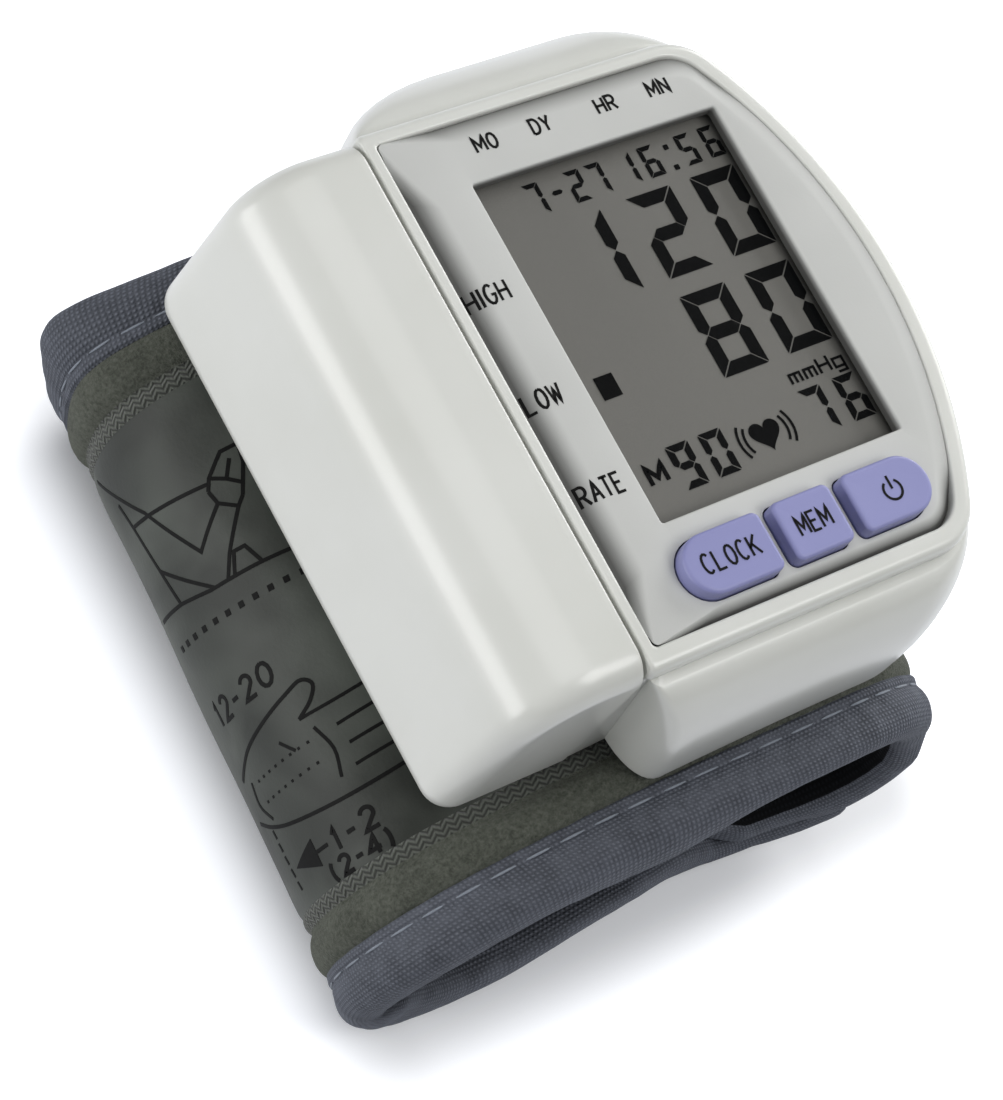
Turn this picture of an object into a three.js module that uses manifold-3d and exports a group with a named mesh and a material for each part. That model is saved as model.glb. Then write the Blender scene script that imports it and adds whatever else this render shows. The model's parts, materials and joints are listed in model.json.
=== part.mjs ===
// Wrist blood pressure monitor: a case with a display face, three buttons and a slide-off battery cover,
// carried on a padded cuff that closes round the wrist. Millimetres, +Z out of the display face.
// The case is laid out from the middle of the display window, X to the right and Y to the top of the display.
import * as THREE from "three";
import { mergeVertices } from "three/addons/utils/BufferGeometryUtils.js";
import Module from "manifold-3d";

const wasm = await Module();
wasm.setup();

// General sizes
const wall = 1.8;
const clearance = 0.3;
const overrun = 1;
const arcStep = THREE.MathUtils.degToRad(11);
const roundSides = 16;
const smallSides = 9;
const cornerSteps = 4;

// Display face
const faceHeight = 62;
const windowWidth = 31.4;
const windowLength = 40;
const panelThickness = 1.6;
const leftMargin = 9.2;
const rightMargin = 10.5;
const rearMargin = 9;
const frontMargin = 13.6;
const faceLeft = windowWidth / 2 + leftMargin;
const faceRight = windowWidth / 2 + rightMargin;
const faceRear = windowLength / 2 + rearMargin;
const faceFront = windowLength / 2 + frontMargin;
const sideRoundShare = 0.9105;
const sideRadius = sideRoundShare * (faceFront + faceRear);
const sideMiddle = 2.5;
const rimRearWidth = 1.8;
const rimLeftWidth = 1.4;
const faceCorner = 7;
const rimWidth = 2.4;
const rimRadius = 1.1;
const creaseShare = 0.15;
const scoopDepth = 1.1;
const scoopWidth = 3.2;
const scoopSideShare = 0.6;
const scoopRearShare = 0.8;
const seamCorner = 0.6;

// Case below the face
const creaseDrop = 2.4;
const bulgeDrop = 13;
const bulgeOut = 5.9;
const bulgeRearOut = 8.6;
const chinLean = 4.4;
const sideBulgeOut = 2.7;
const chinBottom = 23.6;
const chinRounding = 3;
const chinFrontShare = 0.05;
const chinRearShare = 0.33;
const saddleApex = 7;
const saddleDepth = 20.4;
const saddleRadius = 133;
const lipHeight = 3;
const lipThickness = 1.1;
const ledgeWidth = 1;
const ledgeThickness = 0.8;

// Screws and bosses
const screwRadius = 1;
const screwHeadRadius = 1.8;
const screwHeadHeight = 1.2;
const bossRadius = 2.5;
const bossJoint = 13.5;
const screwReach = 4;
const screwDriveWidth = 0.5;
const screwDriveDepth = 0.5;
const bossInset = 4.6;

// Battery compartment
const cellRadius = 5.25;
const bayMargin = 6.55;
const cellNubRadius = 1.9;
const cellNubHeight = 1;
const cellDepth = 2.3;
const cellGap = 0.3;
const contactThickness = 0.4;
const contactSide = 7.6;
const contactSpringLength = 3.6;
const contactSpringRadius = 2.6;
const contactWire = 0.5;
const contactSpringTurns = 3;
const trayThickness = 1.2;
const trayRib = 1.6;
const coverWall = 1.5;
const coverShoulder = 9;
const coverSlant = THREE.MathUtils.degToRad(7.2);
const coverWidth = 14.5;
const coverBottomCorner = 3.4;
const coverDepth = 26;
const coverEndRounding = 3.2;
const coverHookWidth = 2.8;
const coverHookThickness = 0.8;
const coverHookReach = 1.3;
const coverHookDrop = 3.8;

// Buttons
const buttonLength = 6.6;
const buttonDrop = 6;
const buttonMiddle = windowLength / 2 + buttonDrop;
const buttonRise = 2;
const buttonOverhang = 1.5;
const buttonLeft = windowWidth / 2 + buttonOverhang;
const buttonSpacing = 1.6;
const buttonInset = 1.4;
const buttonsWidth = windowWidth + buttonOverhang - buttonInset - 2 * buttonSpacing;
const timeButtonShare = 0.3816;
const memoryButtonShare = 0.265;
const powerButtonShare = 1 - timeButtonShare - memoryButtonShare;
const buttonCorner = 0.9;
const buttonCrown = 0.5;
const buttonFlange = 0.6;
const buttonFlangeThickness = 0.9;
const buttonTravel = 0.8;
const buttonStemRadius = 1.4;
const buttonStemLength = 0.6;

// Display and circuit board
const lensThickness = 0.5;
const lensBorder = 1;
const displayThickness = 2;
const displayBorder = 1.3;
const holderThickness = 1.2;
const holderWall = 1;
const boardDrop = 7.2;
const boardThickness = 1.4;
const boardMargin = 1;
const boardRearMargin = 5;
const boardRear = faceRear - boardRearMargin;
const switchSide = 4.5;
const switchHeight = 2.6;
const switchPlungerRadius = 1;
const chipSide = 9;
const chipThickness = 1.2;

// Air system
const pumpWidth = 12;
const pumpHeight = 9;
const pumpHeadLength = 11;
const motorWidth = 10;
const motorLength = 13;
const motorShaftRadius = 0.8;
const valveRadius = 4;
const valveLength = 12;
const sensorSide = 7;
const sensorHeight = 6;
const nozzleRadius = 1.2;
const nozzleLength = 2.6;
const manifoldLength = 9;
const manifoldSide = 4.4;
const hoseRadius = 2.2;
const hoseBend = 3;
const bendShares = [0, 0.35, 0.65, 1];
const hoseReach = 12.4;
const valveReach = 5.3;
const valveInset = 0.8;
const portFlangeRadius = 4;
const portFlangeThickness = 0.8;
const standoffRadius = 1.4;

// Cuff
const cuffFrontReach = 12.2;
const cuffRearReach = 4.4;
const cuffFront = faceFront + cuffFrontReach;
const cuffRear = faceRear + cuffRearReach;
const cuffSkew = 0.042;
const leftRoundShare = 0.857;
const rightRoundShare = 0.9997;
const cuffGap = 0.4;
const layerGap = 0.2;
const bindingThickness = 0.5;
const bindingWidth = 6;
const outerFabric = 0.6;
const clampThickness = 0.7;
const stiffenerThickness = 0.5;
const bladderThickness = 0.8;
const innerFabric = 0.5;
const labelThickness = 0.4;
const labelMargin = 12.6;
const fastenerThickness = 0.5;
const fastenerOverlap = 14;
const tabEnd = 6;
const flapEnd = 12;
const flapWrap = THREE.MathUtils.degToRad(33);
const hingeAngle = THREE.MathUtils.degToRad(225);
const labelTuck = 3.9;
const labelStart = -faceLeft + labelTuck;
const labelEndAngle = THREE.MathUtils.degToRad(216);
const clampLength = 30;
const clampReach = 14;
const clampEndInset = 1;
const clampPinRadius = 1.4;
const clampPinInset = 5;
const clampPinDepth = 1;
const bladderMargin = 9;
const stiffenerMargin = 7.5;

// Finishes
const finish = (name, colour, roughness, metalness = 0, more = {}) =>
  new THREE.MeshStandardMaterial({ name, color: colour, roughness, metalness, ...more });
const whitePlastic = finish("white_plastic", 0xd9dad4, 0.35);
const silverPanel = finish("silver_panel", 0xbfbfbc, 0.4, 0.1);
const lilacPlastic = finish("lilac_plastic", 0x9392c8, 0.45);
const clearPlastic = finish("clear_plastic", 0xf2f4f4, 0.05, 0, { transparent: true, opacity: 0.3 });
const displayGlass = finish("display_glass", 0x74736e, 0.5);
const blackPlastic = finish("black_plastic", 0x1c1c1e, 0.5);
const boardGreen = finish("board_green", 0x1f5a36, 0.5);
const plainSteel = finish("plain_steel", 0xb4b6ba, 0.3, 0.9);
const cellWrap = finish("cell_wrap", 0x2f3640, 0.35, 0.2);
const softHose = finish("soft_hose", 0xcfd2cf, 0.5);
const greyFelt = finish("grey_felt", 0x565a52, 0.95);
const slateTape = finish("slate_tape", 0x464a55, 0.85);
const printedVinyl = finish("printed_vinyl", 0x5b5e56, 0.55);
const darkLining = finish("dark_lining", 0x30353c, 0.9);
const hookTape = finish("hook_tape", 0x24272b, 0.8);
const translucentSheet = finish("translucent_sheet", 0xd5d8da, 0.4);

// Solids, cuts and joins

// The manifold solid of a closed geometry.
function solidOf(geometry) {
  const bare = geometry.clone();
  bare.deleteAttribute("normal");
  bare.deleteAttribute("uv");
  const merged = mergeVertices(bare);
  return new wasm.Manifold(
    new wasm.Mesh({
      numProp: 3,
      vertProperties: new Float32Array(merged.attributes.position.array),
      triVerts: new Uint32Array(merged.index.array),
    }),
  );
}

// The geometry of a manifold solid.
function geometryOf(solid) {
  const mesh = solid.getMesh();
  const geometry = new THREE.BufferGeometry();
  const positions = new Float32Array(mesh.numVert * 3);
  for (let vertex = 0; vertex < mesh.numVert; vertex += 1) {
    positions.set(mesh.position(vertex), vertex * 3);
  }
  geometry.setAttribute("position", new THREE.BufferAttribute(positions, 3));
  geometry.setIndex(new THREE.BufferAttribute(new Uint32Array(mesh.triVerts), 1));
  return geometry;
}

const joined = (first, ...others) => others.reduce((sum, other) => sum.add(other), first);
const cut = (first, ...others) => others.reduce((rest, other) => rest.subtract(other), first);

// A straight prism of a plan outline between two heights.
function prism(outline, low, high) {
  const geometry = new THREE.ExtrudeGeometry(new THREE.Shape(outline), {
    depth: high - low,
    bevelEnabled: false,
    curveSegments: roundSides,
  });
  geometry.translate(0, 0, low);
  return solidOf(geometry);
}

// A prism of an outline in the XZ plane, between two places along Y.
function barAlongY(outline, front, rear) {
  const geometry = new THREE.ExtrudeGeometry(new THREE.Shape(outline), {
    depth: rear - front,
    bevelEnabled: false,
    curveSegments: roundSides,
  });
  geometry.rotateX(Math.PI / 2);
  geometry.translate(0, rear, 0);
  return solidOf(geometry);
}

// An axis-aligned block between two corners.
function block(xLow, xHigh, yLow, yHigh, zLow, zHigh) {
  const geometry = new THREE.BoxGeometry(xHigh - xLow, yHigh - yLow, zHigh - zLow);
  geometry.translate((xLow + xHigh) / 2, (yLow + yHigh) / 2, (zLow + zHigh) / 2);
  return solidOf(geometry);
}

// An upright cylinder between two heights.
function post(x, y, radius, low, high, sides = roundSides) {
  const geometry = new THREE.CylinderGeometry(radius, radius, high - low, sides);
  geometry.rotateX(Math.PI / 2);
  geometry.translate(x, y, (low + high) / 2);
  return solidOf(geometry);
}

// A cylinder along Y between two places.
function rodAlongY(x, z, radius, front, rear, sides = roundSides) {
  const geometry = new THREE.CylinderGeometry(radius, radius, rear - front, sides);
  geometry.translate(x, (front + rear) / 2, z);
  return solidOf(geometry);
}

// A cylinder along X between two places.
function rodAlongX(y, z, radius, left, right, sides = roundSides) {
  const geometry = new THREE.CylinderGeometry(radius, radius, right - left, sides);
  geometry.rotateZ(Math.PI / 2);
  geometry.translate((left + right) / 2, y, z);
  return solidOf(geometry);
}

// A closed skin through rings with equal counts of points, with flat caps at both ends.
function loft(rings) {
  const count = rings[0].length;
  const positions = rings.flatMap((ring) => ring.flatMap((point) => [point.x, point.y, point.z]));
  const index = [];
  for (let ring = 0; ring + 1 < rings.length; ring += 1) {
    for (let step = 0; step < count; step += 1) {
      const next = (step + 1) % count;
      const low = ring * count;
      const high = low + count;
      index.push(low + step, low + next, high + next, low + step, high + next, high + step);
    }
  }
  // Two directions across the ring make the flat in which its cap is triangulated.
  const capOf = (ring, start, flip) => {
    const flat = ring.map((point) => new THREE.Vector2(point.u, point.v));
    for (const [a, b, c] of THREE.ShapeUtils.triangulateShape(flat, [])) {
      index.push(...(flip ? [start + c, start + b, start + a] : [start + a, start + b, start + c]));
    }
  };
  capOf(rings[0], 0, true);
  capOf(rings[rings.length - 1], (rings.length - 1) * count, false);
  const geometry = new THREE.BufferGeometry();
  geometry.setAttribute("position", new THREE.Float32BufferAttribute(positions, 3));
  geometry.setIndex(index);
  return solidOf(geometry);
}

const ringAt = (outline, z) => outline.map((p) => ({ x: p.x, y: p.y, z, u: p.x, v: p.y }));

// Points on an arc, from one angle to another, both ends included.
function arcPoints(x, y, radius, from, to, steps) {
  return Array.from({ length: steps + 1 }, (_, step) => {
    const angle = from + ((to - from) * step) / steps;
    return new THREE.Vector2(x + radius * Math.cos(angle), y + radius * Math.sin(angle));
  });
}

const rectangle = (left, right, low, high) => [
  new THREE.Vector2(left, low),
  new THREE.Vector2(right, low),
  new THREE.Vector2(right, high),
  new THREE.Vector2(left, high),
];

function roundedRectangle(left, right, low, high, leftRadius, rightRadius = leftRadius) {
  const half = Math.PI / 2;
  return [
    ...arcPoints(left + leftRadius, low + leftRadius, leftRadius, 2 * half, 3 * half, cornerSteps),
    ...arcPoints(right - rightRadius, low + rightRadius, rightRadius, 3 * half, 4 * half, cornerSteps),
    ...arcPoints(right - rightRadius, high - rightRadius, rightRadius, 0, half, cornerSteps),
    ...arcPoints(left + leftRadius, high - leftRadius, leftRadius, half, 2 * half, cornerSteps),
  ];
}

// Plan of the case: straight left, front and rear sides, and a right side that is one wide arc.
// Each side may grow by its own amount. Each left corner is rounded over a run along
// the end and a depth along the left side.
const tightCorners = [{ run: seamCorner, deep: seamCorner }, { run: seamCorner, deep: seamCorner }];
function casePlan(grow, sideGrow = grow, leftGrow = 0, rearGrow = grow, leftCorners = tightCorners) {
  const left = -faceLeft - leftGrow;
  const front = -faceFront - grow;
  const rear = faceRear + rearGrow;
  const arcX = faceRight - sideRadius;
  const arcY = -sideMiddle;
  const radius = sideRadius + sideGrow;
  const corner = Math.max(faceCorner + grow, seamCorner);
  const cornerX = (y) => arcX + Math.sqrt((radius - corner) ** 2 - (y - arcY) ** 2);
  const frontY = front + corner;
  const rearY = rear - corner;
  const frontAngle = Math.atan2(frontY - arcY, cornerX(frontY) - arcX);
  const rearAngle = Math.atan2(rearY - arcY, cornerX(rearY) - arcX);
  const half = Math.PI / 2;
  const leftCorner = (end, inward, { run, deep }, from) =>
    arcPoints(0, 0, 1, from, from + half, 6).map(
      (turn) => new THREE.Vector2(left + run * (1 + turn.x), end + deep * (inward + turn.y)),
    );
  return [
    ...leftCorner(front, 1, leftCorners[0], 2 * half),
    ...arcPoints(cornerX(frontY), frontY, corner, -half, frontAngle, 6).slice(0, -1),
    ...arcPoints(arcX, arcY, radius, frontAngle, rearAngle, 8),
    ...arcPoints(cornerX(rearY), rearY, corner, rearAngle, half, 6).slice(1),
    ...leftCorner(rear, -1, leftCorners[1], half),
  ];
}

// Everything above the saddle that the wrist side of the case follows, less an offset.
const saddleCentreZ = -saddleDepth - saddleRadius;
const saddleAt = (x) => saddleCentreZ + Math.sqrt(saddleRadius ** 2 - (x - saddleApex) ** 2);
function belowSaddle(offset = 0) {
  const radius = saddleRadius + offset;
  const reach = 2 * (faceLeft + faceRight);
  const spread = Math.asin(reach / 2 / radius);
  const top = arcPoints(saddleApex, saddleCentreZ, radius, Math.PI / 2 - spread, Math.PI / 2 + spread, 24);
  const deep = -coverDepth - reach;
  const outline = [
    new THREE.Vector2(top[top.length - 1].x, deep),
    new THREE.Vector2(top[0].x, deep),
    ...top,
  ];
  return barAlongY(outline, -faceFront - reach, faceRear + reach);
}

// Walls of the case that bulge out below the crease under the rim.
const bulgeShares = [0, 0.01, 0.04, 0.12, 0.27, 0.55, 1];
const roundingShares = [0.35, 0.7, 0.92];
function bulgeLevels() {
  const levels = bulgeShares.map((share) => ({
    z: -creaseDrop - bulgeDrop * share,
    share: Math.sqrt(1 - (1 - share) ** 2),
  }));
  levels.push({ z: -chinBottom + chinRounding, share: 1 });
  for (const turn of roundingShares) {
    levels.push({
      z: -chinBottom + chinRounding * (1 - turn),
      share: 1 - (chinRounding / bulgeOut) * (1 - Math.sqrt(1 - turn ** 2)),
    });
  }
  return levels.reverse();
}
function bulge(inset) {
  const levels = bulgeLevels().filter((_, index) => inset === 0 || index % 2 === 0);
  const rings = levels.map(({ z, share }) => {
    const out = bulgeOut * share - inset;
    const rearOut = bulgeRearOut * share - inset;
    const drawnIn = seamCorner + chinLean * (-creaseDrop - z) / (chinBottom - creaseDrop) + inset;
    const faceWidth = faceLeft + faceRight;
    const leftCorners = [
      { run: seamCorner + chinFrontShare * faceWidth * share, deep: seamCorner + bulgeOut * share },
      { run: seamCorner + chinRearShare * faceWidth * share, deep: seamCorner + bulgeRearOut * share },
    ];
    return ringAt(casePlan(out, sideBulgeOut * share - inset, -drawnIn, rearOut, leftCorners), z);
  });
  return loft(rings);
}

// Screw bosses stand just inside the corners of the case.
const bossPlaces = [
  { name: "front_left", x: -faceLeft + bossInset, y: -faceFront + bossInset },
  { name: "rear_left", x: -faceLeft + bossInset, y: faceRear - bossInset },
  { name: "front_right", x: windowWidth / 2 + displayBorder + bossRadius + 2 * clearance, y: -windowLength / 3 },
  { name: "rear_right", x: windowWidth / 2 - bossRadius, y: faceRear - bossInset },
];

// Heights of the stack behind the face
const panelBack = -panelThickness;
const lensFront = panelBack - clearance / 2;
const lensBack = lensFront - lensThickness;
const displayFront = lensBack - clearance / 2;
const displayBack = displayFront - displayThickness;
const boardFront = -boardDrop;
const boardBack = boardFront - boardThickness;
const ledgeTop = panelBack - clearance;
const ledgeBottom = -creaseDrop - ledgeThickness;

// Top housing: the rim round the face, the ledge that the panel lies on, a lip and the screw bosses.
function topHousing() {
  const quarter = 4;
  const levels = [{ z: -creaseDrop, grow: -rimRadius * creaseShare }, { z: -creaseDrop + rimRadius / 2, grow: 0 }];
  for (let step = 0; step <= quarter; step += 1) {
    const turn = (step / quarter) * (Math.PI / 2);
    levels.push({ z: -rimRadius * (1 - Math.sin(turn)), grow: -rimRadius * (1 - Math.cos(turn)) });
  }
  const body = loft(levels.map(({ z, grow }) => ringAt(casePlan(grow, grow), z)));
  const pocket = prism(casePlan(-rimWidth, -rimWidth, -rimLeftWidth, -rimRearWidth), ledgeTop, overrun);
  const lipOut = wall + clearance;
  const lip = cut(
    prism(casePlan(-lipOut, -lipOut, -lipOut), -creaseDrop - lipHeight, -creaseDrop),
    prism(
      casePlan(-lipOut - lipThickness, -lipOut - lipThickness, -lipOut - lipThickness),
      -creaseDrop - lipHeight - overrun,
      overrun,
    ),
  );
  const ledgeOut = rimWidth + ledgeWidth;
  const ledgeStart = wall + clearance / 2;
  const ledge = prism(casePlan(-ledgeStart, -ledgeStart, -ledgeStart), ledgeBottom, ledgeTop);
  const opening = prism(casePlan(-ledgeOut, -ledgeOut, -ledgeOut), ledgeBottom - overrun, overrun);
  const bosses = bossPlaces.map(({ x, y }) => post(x, y, bossRadius, -bossJoint, ledgeTop));
  const pilots = bossPlaces.map(({ x, y }) =>
    post(x, y, screwRadius + clearance / 2, -bossJoint - overrun, -bossJoint + screwReach + clearance),
  );
  const frame = cut(joined(cut(body, pocket), ledge), opening);
  return cut(joined(cut(joined(frame, lip), displayRoom()), ...bosses), ...pilots);
}

// Bottom housing: a tub with bulging walls, a saddle underneath, screw bosses and the battery tray.
function bottomHousing() {
  const top = -creaseDrop - clearance / 2;
  const core = prism(casePlan(-seamCorner / 2, -seamCorner / 2), -coverDepth, top);
  const outside = cut(joined(core, cut(bulge(0), block(
    -2 * faceLeft, 2 * faceRight, -2 * faceFront, 2 * faceRear, top, overrun,
  ))), belowSaddle());
  const inside = joined(
    prism(casePlan(-wall, -wall, -wall), -coverDepth - overrun, overrun),
    bulge(wall),
  );
  const cavity = cut(inside, belowSaddle(wall));
  const bosses = bossPlaces.map(({ x, y }) =>
    cut(post(x, y, bossRadius, -coverDepth, -bossJoint - clearance / 2), belowSaddle()),
  );
  const standoffs = standoffPlaces.map(({ x, y }) =>
    cut(post(x, y, standoffRadius, -coverDepth, boardBack - clearance / 2), belowSaddle()),
  );
  const screwHoles = bossPlaces.flatMap(({ x, y }) => [
    post(x, y, screwRadius + clearance / 2, -coverDepth, 0),
    post(x, y, screwHeadRadius + clearance / 2, -coverDepth, screwSeat(x)),
  ]);
  const portHole = post(portX, portY, nozzleRadius + clearance, -coverDepth, 0);
  const pinHoles = clampPins().map(({ x, y }) =>
    post(
      x, y, clampPinRadius + clearance / 2, saddleAt(x) - cuffThickness,
      saddleAt(x) + clampPinDepth + clearance,
    ),
  );
  const hookNotches = hookPlaces.map((y) =>
    block(
      -faceLeft - overrun, -faceLeft + wall + clearance / 3,
      y - coverHookWidth / 2 - clearance, y + coverHookWidth / 2 + clearance,
      -coverHookDrop - clearance, overrun,
    ),
  );
  const shell = joined(cut(outside, cavity), ...bosses, ...standoffs, batteryTray());
  return cut(shell, ...screwHoles, ...pinHoles, ...hookNotches, portHole);
}

// A screw's head rests this high, inside the counterbore of its boss.
const screwSeat = (x) => saddleAt(x) + wall + screwHeadHeight;

function screw({ x, y }) {
  const seat = screwSeat(x) - clearance / 2;
  const head = post(x, y, screwHeadRadius, seat - screwHeadHeight, seat);
  const shank = post(x, y, screwRadius, seat - screwHeadHeight / 2, -bossJoint + screwReach, smallSides);
  const slotLow = seat - screwHeadHeight - overrun;
  const slotHigh = seat - screwHeadHeight + screwDriveDepth;
  const across = block(x - screwHeadRadius * 0.6, x + screwHeadRadius * 0.6, y - screwDriveWidth / 2, y + screwDriveWidth / 2, slotLow, slotHigh);
  const along = block(x - screwDriveWidth / 2, x + screwDriveWidth / 2, y - screwHeadRadius * 0.6, y + screwHeadRadius * 0.6, slotLow, slotHigh);
  return cut(joined(head, shank), across, along);
}

// Battery compartment: two cells, one above the other, between the tray's ribs.
const cellX = -faceLeft - cellGap - cellRadius;
const upperCellZ = -cellDepth - cellRadius;
const lowerCellZ = upperCellZ - 2 * cellRadius - cellGap;
const bayMiddle = (faceRear - faceFront) / 2;
const bayLength = faceFront + faceRear - 2 * bayMargin;
const cellLength = bayLength - cellNubHeight - contactSpringLength - 2 * contactThickness - 2 * cellGap;
const bayFront = bayMiddle - bayLength / 2;
const bayRear = bayMiddle + bayLength / 2;
const coverLeft = -faceLeft - coverWidth;
const trayLeft = coverLeft + coverWall + clearance + cellGap;
const hookOffset = trayRib + clearance + coverHookWidth / 2;
const hookPlaces = [bayFront - hookOffset, bayRear + hookOffset];

const trayBottom = lowerCellZ - cellRadius - cellGap - trayThickness;
function batteryTray() {
  const cradle = cut(
    block(trayLeft, -faceLeft + wall / 2, bayFront - trayRib, bayRear + trayRib, trayBottom, lowerCellZ - cellRadius / 2),
    rodAlongY(cellX, lowerCellZ, cellRadius + cellGap, bayFront - clearance, bayRear + clearance, 28),
  );
  const ribs = [
    barAlongY(trayRibOutline(), bayFront - trayRib, bayFront),
    barAlongY(trayRibOutline(), bayRear, bayRear + trayRib),
  ];
  return cut(joined(cradle, ...ribs), belowSaddle());
}

// Outline of a tray rib, which keeps clear of the inside of the battery cover.
function trayRibOutline() {
  const inset = coverWall + clearance;
  const profile = coverProfile(inset).filter((point) => point.y > trayBottom);
  return [
    new THREE.Vector2(-faceLeft + wall / 2, trayBottom),
    new THREE.Vector2(-faceLeft + wall / 2, -creaseDrop - inset),
    new THREE.Vector2(-faceLeft - clearance, -creaseDrop - inset),
    new THREE.Vector2(-faceLeft - clearance, -inset),
    ...profile.slice(1),
    new THREE.Vector2(profile[profile.length - 1].x, trayBottom),
  ];
}

function cell(z, nubAtRear) {
  const nubSide = nubAtRear ? 1 : -1;
  const nubFace = nubAtRear ? bayRear - contactThickness - cellGap : bayFront + contactThickness + cellGap;
  const canEnd = nubFace - nubSide * cellNubHeight;
  const canFar = canEnd - nubSide * cellLength;
  const can = rodAlongY(cellX, z, cellRadius, Math.min(canEnd, canFar), Math.max(canEnd, canFar), 24);
  const nubLow = Math.min(nubFace, canEnd - nubSide * cellNubHeight);
  const nubHigh = Math.max(nubFace, canEnd - nubSide * cellNubHeight);
  return joined(can, rodAlongY(cellX, z, cellNubRadius, nubLow, nubHigh, 16));
}

// A contact plate against a rib of the tray.
function contactPlate(z, atRear, height = contactSide) {
  const back = atRear ? bayRear : bayFront;
  const inward = atRear ? -1 : 1;
  const face = back + inward * contactThickness;
  return block(
    cellX - contactSide / 2, cellX + contactSide / 2,
    Math.min(back, face) + (atRear ? 0 : clearance / 2), Math.max(back, face) - (atRear ? clearance / 2 : 0),
    z - height / 2, z + height / 2,
  );
}

// A contact's coil spring, as one wire wound towards the cell.
function contactSpring(z, atRear) {
  const inward = atRear ? -1 : 1;
  const start = (atRear ? bayRear : bayFront) + inward * (contactThickness / 2 + clearance / 2);
  const reach = contactSpringLength - clearance;
  const steps = 8 * contactSpringTurns;
  const points = Array.from({ length: steps + 1 }, (_, step) => {
    const share = step / steps;
    const angle = share * contactSpringTurns * 2 * Math.PI;
    const radius = contactSpringRadius * (1 - share / 4);
    return new THREE.Vector3(
      cellX + radius * Math.cos(angle), start + inward * reach * share, z + radius * Math.sin(angle),
    );
  });
  const section = arcPoints(0, 0, contactWire / 2, 0, 2 * Math.PI, 5).slice(0, -1);
  const wire = new THREE.ExtrudeGeometry(new THREE.Shape(section), {
    steps,
    extrudePath: new THREE.CatmullRomCurve3(points),
    bevelEnabled: false,
  });
  return solidOf(wire);
}

const terminalContact = (z, atRear, sprung) =>
  sprung ? joined(contactPlate(z, atRear), contactSpring(z, atRear)) : contactPlate(z, atRear);

function bridgeContact() {
  const middle = (upperCellZ + lowerCellZ) / 2;
  const plate = contactPlate(middle, false, upperCellZ - lowerCellZ + contactSide);
  return joined(plate, contactSpring(upperCellZ, false));
}

// Section of the battery cover from its seam over the shoulder to its foot, drawn in by an inset.
function coverProfile(inset) {
  const half = Math.PI / 2;
  const shoulderX = coverLeft + coverShoulder;
  const sideAngle = Math.PI - coverSlant;
  const footZ = -coverDepth + coverBottomCorner;
  const normal = new THREE.Vector2(Math.cos(sideAngle), Math.sin(sideAngle));
  const down = new THREE.Vector2(-Math.sin(coverSlant), -Math.cos(coverSlant));
  const acrossZ = -coverShoulder + (coverShoulder - coverBottomCorner) * normal.y;
  const slide = (acrossZ - footZ) / -down.y;
  const footX = shoulderX + (coverShoulder - coverBottomCorner) * normal.x + slide * down.x;
  return [
    new THREE.Vector2(-faceLeft, -inset),
    ...arcPoints(shoulderX, -coverShoulder, coverShoulder - inset, half, sideAngle, 9),
    ...arcPoints(footX, footZ, coverBottomCorner - inset, sideAngle, 3 * half, 4),
    new THREE.Vector2(-faceLeft, -coverDepth + inset),
  ];
}

// Battery cover: a shell over the top, the outside and both ends of the cells.
function batteryCover() {
  const seam = -faceLeft - clearance;
  const endFront = -faceFront;
  const endRear = faceRear;
  const ringOf = (inset, y) =>
    coverProfile(inset).map((point) => {
      const x = Math.min(point.x, seam);
      return { x, y, z: point.y, u: x, v: point.y };
    });
  const turns = [0, 0.3, 0.6, 0.85, 1];
  const rounded = turns.map((turn) => ({
    inset: coverEndRounding * (1 - Math.sqrt(1 - (1 - turn) ** 2)),
    along: coverEndRounding * turn,
  }));
  const rings = [
    ...rounded.map(({ inset, along }) => ringOf(inset, endRear - along)),
    ...rounded.map(({ inset, along }) => ringOf(inset, endFront + along)).reverse(),
  ];
  const outside = loft(rings);
  const inside = [
    ...coverProfile(coverWall).slice(1, -1),
  ];
  const room = [
    new THREE.Vector2(-faceLeft + overrun, -coverWall),
    ...inside,
    new THREE.Vector2(inside[inside.length - 1].x, -coverDepth + coverWall),
    new THREE.Vector2(-faceLeft + overrun, -coverDepth + coverWall),
  ];
  const hollow = barAlongY(room, endFront + coverWall, endRear - coverWall);
  const trayOpening = block(
    trayLeft - clearance, -faceLeft + overrun, bayFront - trayRib - clearance, bayRear + trayRib + clearance,
    -coverDepth - overrun, -coverDepth + 2 * coverWall,
  );
  const hooks = hookPlaces.flatMap((y) => [
    block(
      seam - coverHookThickness, seam,
      y - coverHookWidth / 2, y + coverHookWidth / 2, -coverHookDrop, -coverWall + clearance,
    ),
    block(
      seam - coverHookThickness, -faceLeft + coverHookReach,
      y - coverHookWidth / 2, y + coverHookWidth / 2, -coverHookDrop, -coverHookDrop + coverHookThickness,
    ),
  ]);
  return joined(cut(outside, hollow, trayOpening, belowSaddle()), ...hooks);
}

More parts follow.
